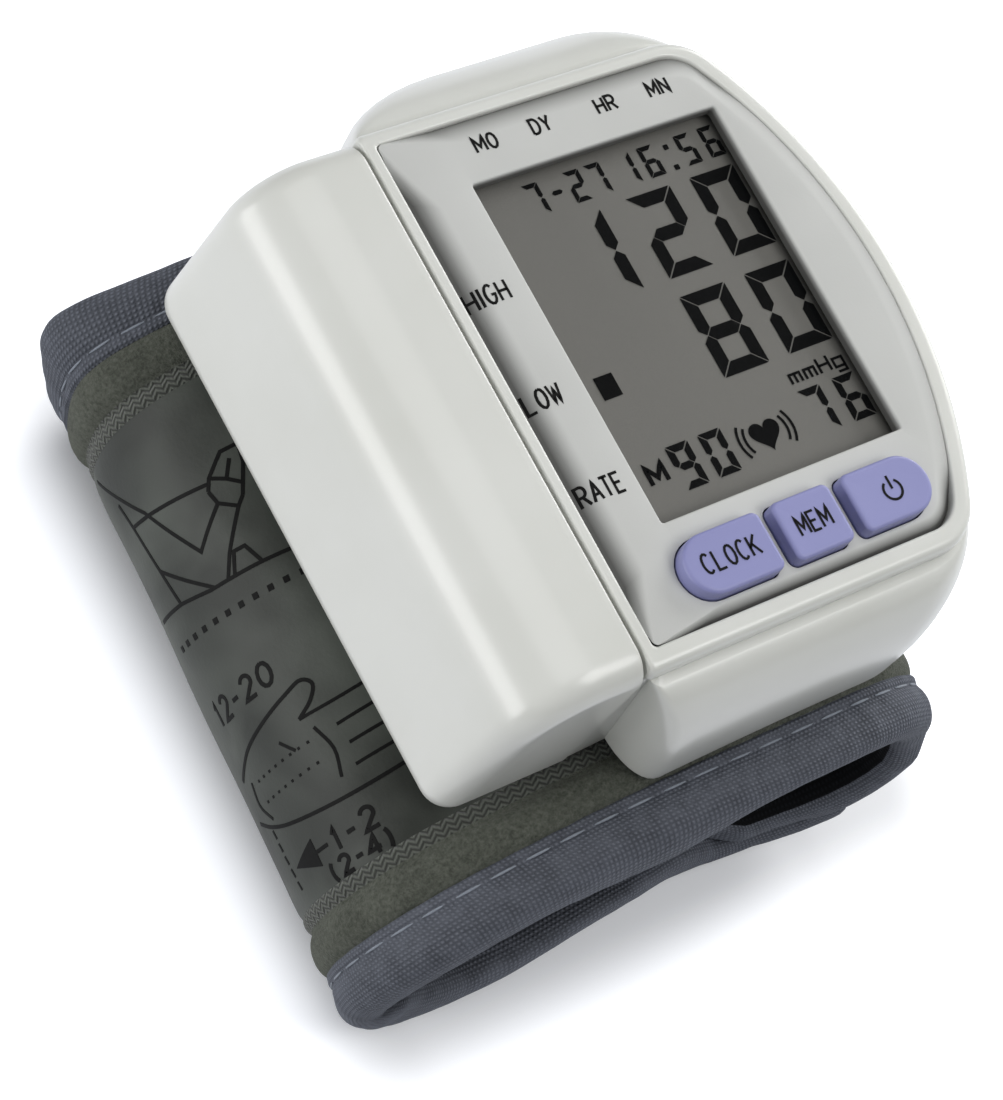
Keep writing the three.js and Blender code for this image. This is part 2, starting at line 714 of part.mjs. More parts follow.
// Display panel: a plate whose edges fall away in scoops that fade out at the two left corners.
const panelOut = rimWidth + clearance / 2;
const panelRearOut = rimRearWidth + clearance / 2;
const panelLeftOut = rimLeftWidth + clearance / 2;
function displayPanel() {
  const edge = casePlan(-panelOut, -panelOut, -panelLeftOut, -panelRearOut);
  const plateau = casePlan(
    -panelOut - scoopWidth, -panelOut - scoopWidth * scoopSideShare, -panelLeftOut - scoopWidth,
    -panelRearOut - scoopWidth * scoopRearShare,
  );
  const fade = edge.map((point) => {
    const fromLeft = point.x + faceLeft - panelLeftOut;
    const fromEnd = Math.min(point.y + faceFront - panelOut, faceRear - panelRearOut - point.y);
    return Math.min(1, Math.hypot(fromLeft, Math.max(fromEnd, 0)) / (2 * scoopWidth));
  });
  const middleShare = 0.45;
  const between = (share, z) =>
    edge.map((point, index) => {
      const x = point.x + (plateau[index].x - point.x) * share;
      const y = point.y + (plateau[index].y - point.y) * share;
      return { x, y, z: z(index), u: x, v: y };
    });
  const rings = [
    ringAt(edge, panelBack),
    between(0, (index) => -scoopDepth * fade[index]),
    between(middleShare, (index) => -scoopDepth * fade[index] * 0.62),
    between(1, () => 0),
  ];
  const opening = prism(
    rectangle(-windowWidth / 2, windowWidth / 2, -windowLength / 2, windowLength / 2),
    panelBack - overrun, overrun,
  );
  const holes = buttons.map(({ left, right, leftRadius, rightRadius }) =>
    prism(
      roundedRectangle(
        left - clearance / 2, right + clearance / 2,
        buttonFront - clearance / 2, buttonRear + clearance / 2,
        leftRadius + clearance / 2, rightRadius + clearance / 2,
      ),
      panelBack - overrun, overrun,
    ),
  );
  return cut(loft(rings), opening, ...holes);
}

// Buttons in one row under the display, with the outer ends of the row rounded.
const buttonFront = -buttonMiddle - buttonLength / 2;
const buttonRear = -buttonMiddle + buttonLength / 2;
const buttons = [
  { name: "time_button", width: timeButtonShare * buttonsWidth, leftRadius: buttonLength / 2, rightRadius: buttonCorner },
  { name: "memory_button", width: memoryButtonShare * buttonsWidth, leftRadius: buttonCorner, rightRadius: buttonCorner },
  { name: "power_button", width: powerButtonShare * buttonsWidth, leftRadius: buttonCorner, rightRadius: buttonLength / 2 },
];
buttons.reduce((left, button) => {
  button.left = left;
  button.right = left + button.width;
  button.middle = left + button.width / 2;
  return button.right + buttonSpacing;
}, -buttonLeft);

function buttonCap({ left, right, middle, leftRadius, rightRadius }) {
  const ringOf = (inset, z) =>
    ringAt(
      roundedRectangle(
        left + inset, right - inset, buttonFront + inset, buttonRear - inset,
        leftRadius - inset, rightRadius - inset,
      ),
      z,
    );
  const flangeTop = panelBack - clearance;
  const flangeBottom = flangeTop - buttonFlangeThickness;
  const cap = loft([
    ringOf(0, flangeTop - buttonFlangeThickness / 2),
    ringOf(0, 0),
    ringOf(buttonCrown / 3, buttonRise - buttonCrown),
    ringOf(buttonCrown / 2, buttonRise - buttonCrown / 3),
    ringOf(buttonCrown, buttonRise),
  ]);
  const flange = prism(
    roundedRectangle(
      left - buttonFlange, right + buttonFlange, buttonFront - buttonFlange, buttonRear + buttonFlange,
      leftRadius + buttonFlange, rightRadius + buttonFlange,
    ),
    flangeBottom, flangeTop,
  );
  const stem = post(middle, -buttonMiddle, buttonStemRadius, flangeBottom - buttonStemLength, flangeBottom + buttonFlangeThickness / 2);
  return joined(cap, flange, stem);
}

// Display parts
const lens = () =>
  prism(
    rectangle(
      -windowWidth / 2 - lensBorder, windowWidth / 2 + lensBorder,
      -windowLength / 2 - lensBorder, windowLength / 2 + lensBorder,
    ),
    lensBack, lensFront,
  );
const displayHalfWidth = windowWidth / 2 + displayBorder;
const displayHalfLength = windowLength / 2 + displayBorder;
const displayModule = () =>
  prism(
    rectangle(-displayHalfWidth, displayHalfWidth, -displayHalfLength, displayHalfLength),
    displayBack, displayFront,
  );

const displayRoom = () =>
  prism(
    rectangle(
      -displayHalfWidth - clearance, displayHalfWidth + clearance,
      -displayHalfLength - clearance, displayHalfLength + clearance,
    ),
    -creaseDrop - lipHeight - overrun, lensFront,
  );

// Holder that stands the display off the circuit board.
function displayHolder() {
  const low = boardFront + clearance / 2;
  const high = displayBack - clearance / 2;
  const frame = prism(
    rectangle(-displayHalfWidth, displayHalfWidth, -displayHalfLength, displayHalfLength), low, high,
  );
  const middle = prism(
    rectangle(
      -displayHalfWidth + holderWall + holderThickness, displayHalfWidth - holderWall - holderThickness,
      -displayHalfLength + holderWall + holderThickness, displayHalfLength - holderWall - holderThickness,
    ),
    low - overrun, high + overrun,
  );
  return cut(frame, middle);
}

// Circuit board, notched round the screw bosses.
const boardInset = wall + lipThickness + clearance + boardMargin;
function circuitBoard() {
  const plan = prism(casePlan(-boardInset, -boardInset, -boardInset), boardBack, boardFront);
  const rearCut = block(-2 * faceLeft, 2 * faceRight, boardRear, 2 * faceRear, boardBack - overrun, boardFront + overrun);
  const notches = bossPlaces.map(({ x, y }) =>
    post(x, y, bossRadius + clearance, boardBack - overrun, boardFront + overrun),
  );
  return cut(plan, rearCut, ...notches);
}

function tactSwitch({ middle }) {
  const foot = boardFront + clearance / 2;
  const body = block(
    middle - switchSide / 2, middle + switchSide / 2,
    -buttonMiddle - switchSide / 2, -buttonMiddle + switchSide / 2,
    foot, foot + switchHeight - switchPlungerRadius / 2,
  );
  const plunger = post(middle, -buttonMiddle, switchPlungerRadius, foot + switchHeight / 2, foot + switchHeight, smallSides);
  return joined(body, plunger);
}

const standoffPlaces = [
  { x: -faceLeft + 2 * bossInset, y: -windowLength / 2 },
  { x: faceRight - 3 * bossInset, y: -windowLength / 2 + bossInset },
  { x: -faceLeft + 1.5 * bossInset, y: boardRear - bossInset },
];

// Air system under the board
const partsCeiling = boardBack - clearance;
const pumpX = windowWidth / 2 - bossRadius / 2;
const pumpRear = windowLength / 2;
const pumpFront = pumpRear - pumpHeadLength;
const motorFront = pumpFront - motorLength;
const pumpLow = partsCeiling - pumpHeight;
const portX = pumpX - pumpWidth / 2 - hoseReach;
const portY = -windowLength / 8;
const manifoldY = portY;
const manifoldZ = partsCeiling - manifoldSide;
const valveX = portX - manifoldSide / 2 - clearance - valveReach;
const valveRear = windowLength / 2 - valveInset;

function airPump() {
  const head = prism(
    roundedRectangle(
      pumpX - pumpWidth / 2, pumpX + pumpWidth / 2, pumpFront + clearance / 2, pumpRear, wall / 2,
    ),
    pumpLow, partsCeiling,
  );
  const nozzle = rodAlongX(
    (pumpFront + pumpRear) / 2, manifoldZ, nozzleRadius,
    pumpX - pumpWidth / 2 - nozzleLength, pumpX, 12,
  );
  return joined(head, nozzle);
}

function pumpMotor() {
  const half = pumpHeight / 2;
  const middleZ = pumpZ;
  const flat = motorWidth / 2;
  const round = [
    ...arcPoints(pumpX + flat - half, middleZ, half, -Math.PI / 2, Math.PI / 2, 10),
    ...arcPoints(pumpX - flat + half, middleZ, half, Math.PI / 2, (3 * Math.PI) / 2, 10),
  ];
  const can = barAlongY(round, motorFront, pumpFront - clearance / 2);
  const bearing = rodAlongY(pumpX, middleZ, 2 * motorShaftRadius, motorFront - motorShaftRadius, motorFront + overrun, 16);
  return joined(can, bearing);
}

function exhaustValve() {
  const z = partsCeiling - valveRadius;
  const body = rodAlongY(valveX, z, valveRadius, valveRear - valveLength, valveRear);
  const nozzle = rodAlongY(valveX, manifoldZ, nozzleRadius, valveRear - valveLength - nozzleLength, valveRear - valveLength + overrun, smallSides);
  return joined(body, nozzle);
}

const sensorX = portX - hoseBend - nozzleLength - clearance - sensorSide / 2;
const sensorY = portY - manifoldSide / 2 - nozzleLength - hoseBend;
function pressureSensor() {
  const body = block(
    sensorX - sensorSide / 2, sensorX + sensorSide / 2, sensorY - sensorSide / 2, sensorY + sensorSide / 2,
    boardBack - clearance / 2 - sensorHeight, boardBack - clearance / 2,
  );
  const side = sensorX + sensorSide / 2;
  return joined(body, rodAlongX(sensorY, manifoldZ, nozzleRadius, side - overrun, side + nozzleLength, 12));
}

const chipY = valveRear - valveLength - nozzleLength - chipSide / 2;
const controlChip = () =>
  block(
    sensorX - chipSide / 2, sensorX + chipSide / 2, chipY - chipSide / 2, chipY + chipSide / 2,
    boardBack - clearance / 2 - chipThickness, boardBack - clearance / 2,
  );

// Four-way joint over the cuff's air port: one branch down to the port, the others to the pump, valve and sensor.
function airManifold() {
  const body = block(
    portX - manifoldSide / 2, portX + manifoldSide / 2,
    manifoldY - manifoldSide / 2, manifoldY + manifoldLength - manifoldSide / 2,
    manifoldZ - manifoldSide / 2, manifoldZ + manifoldSide / 2,
  );
  const toPump = rodAlongX(manifoldY + manifoldLength / 2, manifoldZ, nozzleRadius, portX, portX + manifoldSide / 2 + nozzleLength, smallSides);
  const toValve = rodAlongX(manifoldY + manifoldLength / 2, manifoldZ, nozzleRadius, portX - manifoldSide / 2 - nozzleLength, portX, smallSides);
  const toSensor = rodAlongY(portX, manifoldZ, nozzleRadius, manifoldY - manifoldSide / 2 - nozzleLength, manifoldY, smallSides);
  return joined(body, toPump, toValve, toSensor);
}

// Hoses run from nozzle to nozzle: straight over each nozzle, and bent between them.
// A rod of a radius along a path of straights and bends, whose corners are given in order.
function bentRod(corners, z, radius, extra) {
  const places = [];
  corners.forEach(([x, y], index) => {
    const here = new THREE.Vector2(x, y);
    const before = corners[index - 1] && new THREE.Vector2(...corners[index - 1]).sub(here).normalize();
    const after = corners[index + 1] && new THREE.Vector2(...corners[index + 1]).sub(here).normalize();
    if (!before || !after) {
      places.push(here.addScaledVector(before ?? after, -extra));
      return;
    }
    const start = here.clone().addScaledVector(before, hoseBend);
    const end = here.clone().addScaledVector(after, hoseBend);
    for (const share of bendShares) {
      const into = start.clone().lerp(here, share);
      places.push(into.lerp(here.clone().lerp(end, share), share));
    }
  });
  const rings = places.map((place, index) => {
    const ahead = places[Math.min(index + 1, places.length - 1)];
    const behind = places[Math.max(index - 1, 0)];
    const along = ahead.clone().sub(behind).normalize();
    return arcPoints(0, 0, radius, 0, 2 * Math.PI, smallSides).slice(0, -1).map(({ x: u, y: v }) => ({
      x: place.x + along.y * u, y: place.y - along.x * u, z: z + v, u, v,
    }));
  });
  return loft(rings.reverse());
}
const hose = (corners, z) =>
  cut(bentRod(corners, z, hoseRadius, 0), bentRod(corners, z, nozzleRadius + clearance, overrun));

const pumpZ = (pumpLow + partsCeiling) / 2;
const branchY = manifoldY + manifoldLength / 2;
const branchRight = portX + manifoldSide / 2 + clearance;
const branchLeft = portX - manifoldSide / 2 - clearance;
const pumpHose = () =>
  hose([
    [branchRight, branchY], [branchRight + nozzleLength + hoseBend, branchY],
    [branchRight + nozzleLength + hoseBend, (pumpFront + pumpRear) / 2],
    [pumpX - pumpWidth / 2 - clearance, (pumpFront + pumpRear) / 2],
  ], manifoldZ);
const valveHose = () =>
  hose([
    [branchLeft, branchY], [valveX, branchY], [valveX, valveRear - valveLength - clearance],
  ], manifoldZ);
const sensorHose = () =>
  hose([
    [portX, manifoldY - manifoldSide / 2 - clearance], [portX, sensorY],
    [sensorX + sensorSide / 2 + clearance, sensorY],
  ], manifoldZ);

// Cuff: one path round the wrist, made of lines and arcs in the XZ plane. The base starts at the tab's end,
// runs under the case and round the left side to the hinge line, and the flap carries on from there, below the
// tab and up over its right turn.
const cuffThickness = 2 * bindingThickness + outerFabric + clampThickness + stiffenerThickness
  + bladderThickness + innerFabric + 6 * layerGap;
const cuffBottom = -faceHeight;
const tabBottom = cuffBottom + cuffThickness + layerGap;
const cuffTopRadius = saddleRadius - cuffGap;
const cuffTopZ = saddleCentreZ + cuffTopRadius;
const cuffLeftRadius = leftRoundShare * (cuffTopZ - cuffBottom) / 2;
const cuffRightRadius = rightRoundShare * (cuffTopZ - tabBottom) / 2;
const cuffTurn = (radius, bottom) =>
  Math.acos((bottom + radius - saddleCentreZ) / (cuffTopRadius - radius));
const leftTurn = cuffTurn(cuffLeftRadius, cuffBottom);
const rightTurn = cuffTurn(cuffRightRadius, tabBottom);
const leftCentre = new THREE.Vector2(
  saddleApex - (cuffTopRadius - cuffLeftRadius) * Math.sin(leftTurn), cuffBottom + cuffLeftRadius,
);
const rightCentre = new THREE.Vector2(
  rightEdgeCentre(), tabBottom + cuffRightRadius,
);
function rightEdgeCentre() {
  return saddleApex + (cuffTopRadius - cuffRightRadius) * Math.sin(rightTurn);
}

const linePiece = (from, to) => ({
  length: from.distanceTo(to),
  steps: 1,
  at: (share) => ({ point: from.clone().lerp(to, share), inward: new THREE.Vector2(0, 1) }),
});
const arcPiece = (centre, radius, from, to) => ({
  length: radius * Math.abs(to - from),
  steps: Math.ceil(Math.abs(to - from) / Math.min(arcStep, (cuffLeftRadius * arcStep * 2) / radius)),
  at: (share) => {
    const angle = from + (to - from) * share;
    const out = new THREE.Vector2(Math.cos(angle), Math.sin(angle));
    return { point: centre.clone().addScaledVector(out, radius), inward: out.clone().negate() };
  },
});
const quarter = Math.PI / 2;
const basePieces = [
  linePiece(new THREE.Vector2(rightCentre.x - tabEnd - flapEnd, tabBottom), new THREE.Vector2(rightCentre.x, tabBottom)),
  arcPiece(rightCentre, cuffRightRadius, -quarter, quarter - rightTurn),
  arcPiece(new THREE.Vector2(saddleApex, saddleCentreZ), cuffTopRadius, quarter - rightTurn, quarter + leftTurn),
  arcPiece(leftCentre, cuffLeftRadius, quarter + leftTurn, hingeAngle),
];
const flapGapAngle = layerGap / cuffLeftRadius;
const flapPieces = [
  arcPiece(leftCentre, cuffLeftRadius, hingeAngle + 2 * flapGapAngle, 3 * quarter),
  linePiece(new THREE.Vector2(leftCentre.x, cuffBottom), new THREE.Vector2(rightCentre.x, cuffBottom)),
  arcPiece(rightCentre, cuffRightRadius + cuffThickness + layerGap, -quarter, -quarter + flapWrap),
];
const lengthOf = (pieces) => pieces.reduce((sum, piece) => sum + piece.length, 0);

// Stations along a run of pieces between two distances, with every joint between pieces kept.
function stations(pieces, from, to) {
  const found = [];
  let start = 0;
  for (const piece of pieces) {
    const low = Math.max(from, start);
    const high = Math.min(to, start + piece.length);
    if (high > low) {
      const steps = Math.max(1, Math.ceil((piece.steps * (high - low)) / piece.length));
      for (let step = found.length ? 1 : 0; step <= steps; step += 1) {
        found.push(piece.at((low - start + ((high - low) * step) / steps) / piece.length));
      }
    }
    start += piece.length;
  }
  return found;
}

// A layer of the cuff: a strip between two depths below the outer face, two distances and two places along Y.
function layer(pieces, from, to, shallow, deep, front, rear) {
  const places = stations(pieces, from, to);
  const outer = places.map(({ point, inward }) => point.clone().addScaledVector(inward, shallow));
  const inner = places.map(({ point, inward }) => point.clone().addScaledVector(inward, deep));
  return barAlongY([...outer, ...inner.reverse()], front, rear);
}

// The cuff lies a little askew, so its layers are sheared along Y.
const cuffMiddle = (cuffRear - cuffFront) / 2;
function askew(solid) {
  const geometry = geometryOf(solid);
  const matrix = new THREE.Matrix4().set(
    1, cuffSkew, 0, -cuffSkew * cuffMiddle, 0, 1, 0, 0, 0, 0, 1, 0, 0, 0, 0, 1,
  );
  geometry.applyMatrix4(matrix);
  return solidOf(geometry);
}

// Depths of the layers below the outer face of the binding
const outerTop = bindingThickness + layerGap;
const clampTop = outerTop + outerFabric + layerGap;
const stiffenerTop = clampTop + clampThickness + layerGap;
const bladderTop = stiffenerTop + stiffenerThickness + layerGap;
const innerTop = bladderTop + bladderThickness + layerGap;
const innerBottom = innerTop + innerFabric;
const baseLength = lengthOf(basePieces);
const flapLength = lengthOf(flapPieces);
const flapFlat = lengthOf(flapPieces.slice(0, 2));
const fabricFront = -cuffFront + bindingThickness + layerGap;
const fabricRear = cuffRear - bindingThickness - layerGap;
const topStart = basePieces[0].length + basePieces[1].length;
const leftStart = topStart + basePieces[2].length;
const angleOnLeft = (angle) => leftStart + cuffLeftRadius * (angle - quarter - leftTurn);

// U-shaped tape over one edge of a run of the cuff.
function binding(pieces, length, atRear) {
  const end = atRear ? cuffRear : -cuffFront;
  const inward = atRear ? -1 : 1;
  const strip = (shallow, deep, width) =>
    layer(pieces, 0, length, shallow, deep, Math.min(end, end + inward * width), Math.max(end, end + inward * width));
  return askew(joined(
    strip(0, bindingThickness, bindingWidth),
    strip(cuffThickness - bindingThickness, cuffThickness, bindingWidth),
    strip(0, cuffThickness, bindingThickness),
  ));
}

const portHoleThrough = (solid, radius) =>
  cut(solid, post(portX, portY, radius, -saddleDepth - 4 * cuffThickness, -saddleDepth + cuffThickness));

const outerFabricSolid = () => {
  const sheet = askew(layer(basePieces, 0, baseLength, outerTop, outerTop + outerFabric, fabricFront, fabricRear));
  const holes = clampPins().map(({ x, y }) =>
    post(x, y, clampPinRadius + clearance / 2, -coverDepth - cuffThickness, -saddleDepth + overrun),
  );
  return cut(portHoleThrough(sheet, portFlangeRadius + clearance), ...holes);
};

// Clamp plate inside the cuff, whose pins go up through the fabric into the case.
function clampMiddle() {
  return rightCentre.x - clampEndInset - clampReach;
}
function clampPins() {
  return [-1, 1].flatMap((side) =>
    [-1, 1].map((end) => ({
      x: clampMiddle() + side * (clampReach - clampPinInset / 2),
      y: end * (clampLength / 2 - clampPinInset) + portY,
    })),
  );
}
function clampPlate() {
  const plate = layer(
    basePieces, topDistanceAt(clampMiddle() + clampReach), topDistanceAt(clampMiddle() - clampReach),
    clampTop, clampTop + clampThickness, portY - clampLength / 2, portY + clampLength / 2,
  );
  const pins = clampPins().map(({ x, y }) =>
    post(x, y, clampPinRadius, saddleAt(x) - cuffGap - clampTop - clampThickness / 2, saddleAt(x) + clampPinDepth),
  );
  return portHoleThrough(joined(plate, ...pins), portFlangeRadius + clearance);
}
// Distance along the base at which its top arc passes a place in X.
function topDistanceAt(x) {
  return topStart + cuffTopRadius * (quarter - Math.asin((x - saddleApex) / cuffTopRadius) - (quarter - rightTurn));
}

const stiffener = () =>
  portHoleThrough(
    askew(layer(
      basePieces, topStart, baseLength - stiffenerMargin / 2, stiffenerTop, stiffenerTop + stiffenerThickness,
      -cuffFront + stiffenerMargin, cuffRear - stiffenerMargin,
    )),
    nozzleRadius + clearance,
  );

const bladder = () =>
  portHoleThrough(
    askew(layer(
      basePieces, topStart, baseLength - bladderMargin / 2, bladderTop, bladderTop + bladderThickness,
      -cuffFront + bladderMargin, cuffRear - bladderMargin,
    )),
    nozzleRadius / 2,
  );

const innerFabricSolid = () =>
  askew(layer(basePieces, 0, baseLength, innerTop, innerBottom, fabricFront, fabricRear));

// Air port: a flange under the case and a tube that goes up to the joint of the hoses.
function airPort() {
  const top = saddleAt(portX) - cuffGap;
  const flangeLow = top - outerTop - outerFabric - portFlangeThickness;
  const flange = post(portX, portY, portFlangeRadius, flangeLow, flangeLow + portFlangeThickness + outerFabric);
  const tube = post(portX, portY, nozzleRadius, flangeLow + clearance, manifoldZ - manifoldSide / 2 - clearance, 16);
  const foot = post(portX, portY, nozzleRadius, top - stiffenerTop - stiffenerThickness - layerGap / 2, flangeLow + clearance, 16);
  return joined(flange, tube, foot);
}

const label = () =>
  askew(layer(
    basePieces, topDistanceAt(labelStart), angleOnLeft(labelEndAngle), outerTop - layerGap / 2 - labelThickness,
    outerTop - layerGap / 2, -cuffFront + labelMargin, cuffRear - labelMargin,
  ));

const loopStrip = () =>
  askew(layer(
    basePieces, bindingWidth / 2, fastenerOverlap, outerTop - layerGap / 2 - fastenerThickness + layerGap,
    outerTop - layerGap / 2, -cuffFront + labelMargin, cuffRear - labelMargin,
  ));

const flapCover = () =>
  askew(layer(flapPieces, 0, flapLength, outerTop, innerBottom, fabricFront, fabricRear));

const hookStrip = () =>
  askew(layer(
    flapPieces, flapFlat - fastenerOverlap, flapFlat - bindingWidth / 3, innerBottom + layerGap / 2,
    innerBottom + layerGap / 2 + fastenerThickness, -cuffFront + labelMargin, cuffRear - labelMargin,
  ));

const assembly = new THREE.Group();

function place(name, solid, material) {
  const mesh = new THREE.Mesh(geometryOf(solid), material);
  mesh.name = name;
  assembly.add(mesh);
}

place("top_housing", topHousing(), whitePlastic);
place("bottom_housing", bottomHousing(), whitePlastic);
place("battery_cover", batteryCover(), whitePlastic);
place("display_panel", displayPanel(), silverPanel);
place("display_lens", lens(), clearPlastic);
place("display_module", displayModule(), displayGlass);
place("display_holder", displayHolder(), blackPlastic);
for (const button of buttons) place(button.name, buttonCap(button), lilacPlastic);
place("circuit_board", circuitBoard(), boardGreen);
for (const button of buttons) place(button.name.replace("button", "switch"), tactSwitch(button), blackPlastic);
place("control_chip", controlChip(), blackPlastic);
place("pressure_sensor", pressureSensor(), blackPlastic);
place("air_pump_head", airPump(), blackPlastic);
place("pump_motor", pumpMotor(), plainSteel);
place("exhaust_valve", exhaustValve(), plainSteel);
place("air_manifold", airManifold(), clearPlastic);
place("pump_hose", pumpHose(), softHose);
place("valve_hose", valveHose(), softHose);
place("sensor_hose", sensorHose(), softHose);
place("upper_cell", cell(upperCellZ, true), cellWrap);
place("lower_cell", cell(lowerCellZ, false), cellWrap);
place("bridge_contact", bridgeContact(), plainSteel);
place("positive_contact", terminalContact(upperCellZ, true, false), plainSteel);
place("negative_contact", terminalContact(lowerCellZ, true, true), plainSteel);
for (const spot of bossPlaces) place(`case_screw_${spot.name}`, screw(spot), plainSteel);
place("cuff_outer_fabric", outerFabricSolid(), greyFelt);
place("cuff_clamp_plate", clampPlate(), blackPlastic);
place("cuff_stiffener", stiffener(), translucentSheet);
place("air_bladder", bladder(), softHose);
place("cuff_inner_fabric", innerFabricSolid(), darkLining);
place("cuff_binding_front", binding(basePieces, baseLength, false), slateTape);
place("cuff_binding_rear", binding(basePieces, baseLength, true), slateTape);
place("instruction_label", label(), printedVinyl);
place("loop_strip", loopStrip(), greyFelt);
place("air_port", airPort(), clearPlastic);
place("flap_fabric", flapCover(), greyFelt);
place("flap_binding_front", binding(flapPieces, flapLength, false), slateTape);
place("flap_binding_rear", binding(flapPieces, flapLength, true), slateTape);
place("hook_strip", hookStrip(), hookTape);

// The assembly stands on the cuff, with its origin under the middle of the whole.
const extent = new THREE.Box3().setFromObject(assembly);
const middle = extent.getCenter(new THREE.Vector3());
assembly.position.set(-middle.x, -middle.y, -extent.min.z);

export default assembly;
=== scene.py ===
# %% [markdown]
# # Wrist blood pressure monitor
# The case, its cover, the display and the cuff are dressed here on a fixed frame that comes from the CAD part.
# The frame gives sizes and places, so each new piece is laid out in the same millimetres as the CAD source:
# the origin is the middle of the display window, X goes right, Y goes to the top of the display, Z out of it.
# One helper turns these millimetres into the metres of the scene, so every piece lands where the frame is.

# %% Frame and the layout's origin
import json
import math

import bmesh
import bpy
import numpy as np
from mathutils import Matrix, Vector
from mathutils.geometry import delaunay_2d_cdt


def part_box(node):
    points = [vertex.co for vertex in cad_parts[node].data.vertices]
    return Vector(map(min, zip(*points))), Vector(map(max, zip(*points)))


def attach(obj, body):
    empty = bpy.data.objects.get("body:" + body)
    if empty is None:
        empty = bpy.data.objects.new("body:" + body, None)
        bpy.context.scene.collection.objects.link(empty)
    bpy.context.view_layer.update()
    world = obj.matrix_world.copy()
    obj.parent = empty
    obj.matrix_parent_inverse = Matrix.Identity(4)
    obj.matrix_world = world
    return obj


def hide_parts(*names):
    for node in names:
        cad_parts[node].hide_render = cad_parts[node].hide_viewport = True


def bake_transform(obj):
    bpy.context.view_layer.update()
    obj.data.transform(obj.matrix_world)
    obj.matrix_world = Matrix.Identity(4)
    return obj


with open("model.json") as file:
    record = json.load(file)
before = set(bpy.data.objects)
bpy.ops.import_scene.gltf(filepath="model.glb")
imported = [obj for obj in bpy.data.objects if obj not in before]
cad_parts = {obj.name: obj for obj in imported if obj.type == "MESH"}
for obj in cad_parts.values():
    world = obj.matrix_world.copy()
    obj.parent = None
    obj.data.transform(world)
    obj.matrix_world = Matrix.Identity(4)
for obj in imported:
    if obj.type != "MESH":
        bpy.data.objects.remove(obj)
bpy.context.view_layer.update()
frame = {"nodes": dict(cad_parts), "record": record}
MM, QUARTER = 0.001, math.pi / 2
module_low, module_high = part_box("display_module")
origin = np.array([
    (module_low.x + module_high.x) / 2,
    (module_low.y + module_high.y) / 2,
    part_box("display_panel")[1].z,
])
print("layout origin in metres:", origin.round(5).tolist())


def placed(points):
    """Layout millimetres as scene metres."""
    return origin + MM * np.asarray(points, float)


# %% [markdown]
# ## Helpers for meshes
# Most pieces here are skins: a row of rings with equal counts of points, joined by quads. A moulded shell, a woven
# tape and a padded band can all be made so, each from its own section. Spinning or extruding would be shorter, but
# neither lets a section change along the way as these do. Each vertex also gets a place along and around the skin,
# in metres, which the cloth materials use as their map.

# %% Skins, caps and shading
def in_scene(name, data):
    made = bpy.data.objects.new(name, data)
    bpy.context.scene.collection.objects.link(made)
    return made


def make_piece(name, points, faces, material, maps=None, sharp=32):
    """An object from layout points and faces, merged, turned outwards and shaded smooth up to sharp degrees."""
    mesh = bpy.data.meshes.new(name)
    mesh.from_pydata(placed(points).tolist(), [], [list(f) for f in faces])
    if maps is not None:
        layer = mesh.uv_layers.new(name="cloth")
        layer.data.foreach_set("uv", np.array([uv for face in maps for uv in face], np.float32).ravel())
    shaped = bmesh.new()
    shaped.from_mesh(mesh)
    bmesh.ops.remove_doubles(shaped, verts=shaped.verts, dist=2e-7)
    bmesh.ops.recalc_face_normals(shaped, faces=shaped.faces)
    shaped.to_mesh(mesh)
    shaped.free()
    mesh.shade_smooth()
    mesh.set_sharp_from_angle(angle=math.radians(sharp))
    mesh.materials.append(material)
    return in_scene(name, mesh)


def skin(rings, around=True, closed=False, caps=(False, False)):
    """Points and faces through rings with equal counts. closed joins the last ring to the first."""
    count, total = len(rings[0]), len(rings)
    faces = []
    for ring in range(total if closed else total - 1):
        low, high = ring * count, ((ring + 1) % total) * count
        for step in range(count if around else count - 1):
            after = (step + 1) % count
            faces.append((low + step, low + after, high + after, high + step))
    if caps[0]:
        faces.append(tuple(range(count))[::-1])
    if caps[1]:
        faces.append(tuple((total - 1) * count + step for step in range(count)))
    return np.concatenate([np.asarray(r, float) for r in rings]), faces


def merged(*skins):
    """Several sets of points and faces as one."""
    points, faces, start = [], [], 0
    for some, their in skins:
        points.append(some)
        faces += [tuple(start + i for i in face) for face in their]
        start += len(some)
    return np.concatenate(points), faces


def smooth_step(t):
    t = np.clip(t, 0, 1)
    return t * t * (3 - 2 * t)


# %% [markdown]
# ## Helpers for materials
# A finish is a small graph of nodes on a Principled shader. Colours are written as paint codes and turned into the
# linear values that a shader works in. Moulded plastic is never quite even: it has a very fine texture from the
# mould and slight clouding, so each plastic gets both, on Object coordinates, which stay with the piece.

# %% Paint codes and node helpers
def paint(code, share=1.0):
    parts = [int(code[i:i + 2], 16) / 255 for i in (1, 3, 5)]
    even = [p / 12.92 if p <= 0.04045 else ((p + 0.055) / 1.055) ** 2.4 for p in parts]
    return [share * p for p in even] + [1.0]


def add(tree, kind, inputs=(), **settings):
    """A shader node with its settings and inputs, each a value or another node's output."""
    made = tree.nodes.new("ShaderNode" + kind)
    for name, value in settings.items():
        setattr(made, name, value)
    for name, value in dict(inputs).items():
        socket = made.inputs[name]
        if isinstance(value, bpy.types.NodeSocket):
            tree.links.new(value, socket)
        else:
            socket.default_value = value
    return made


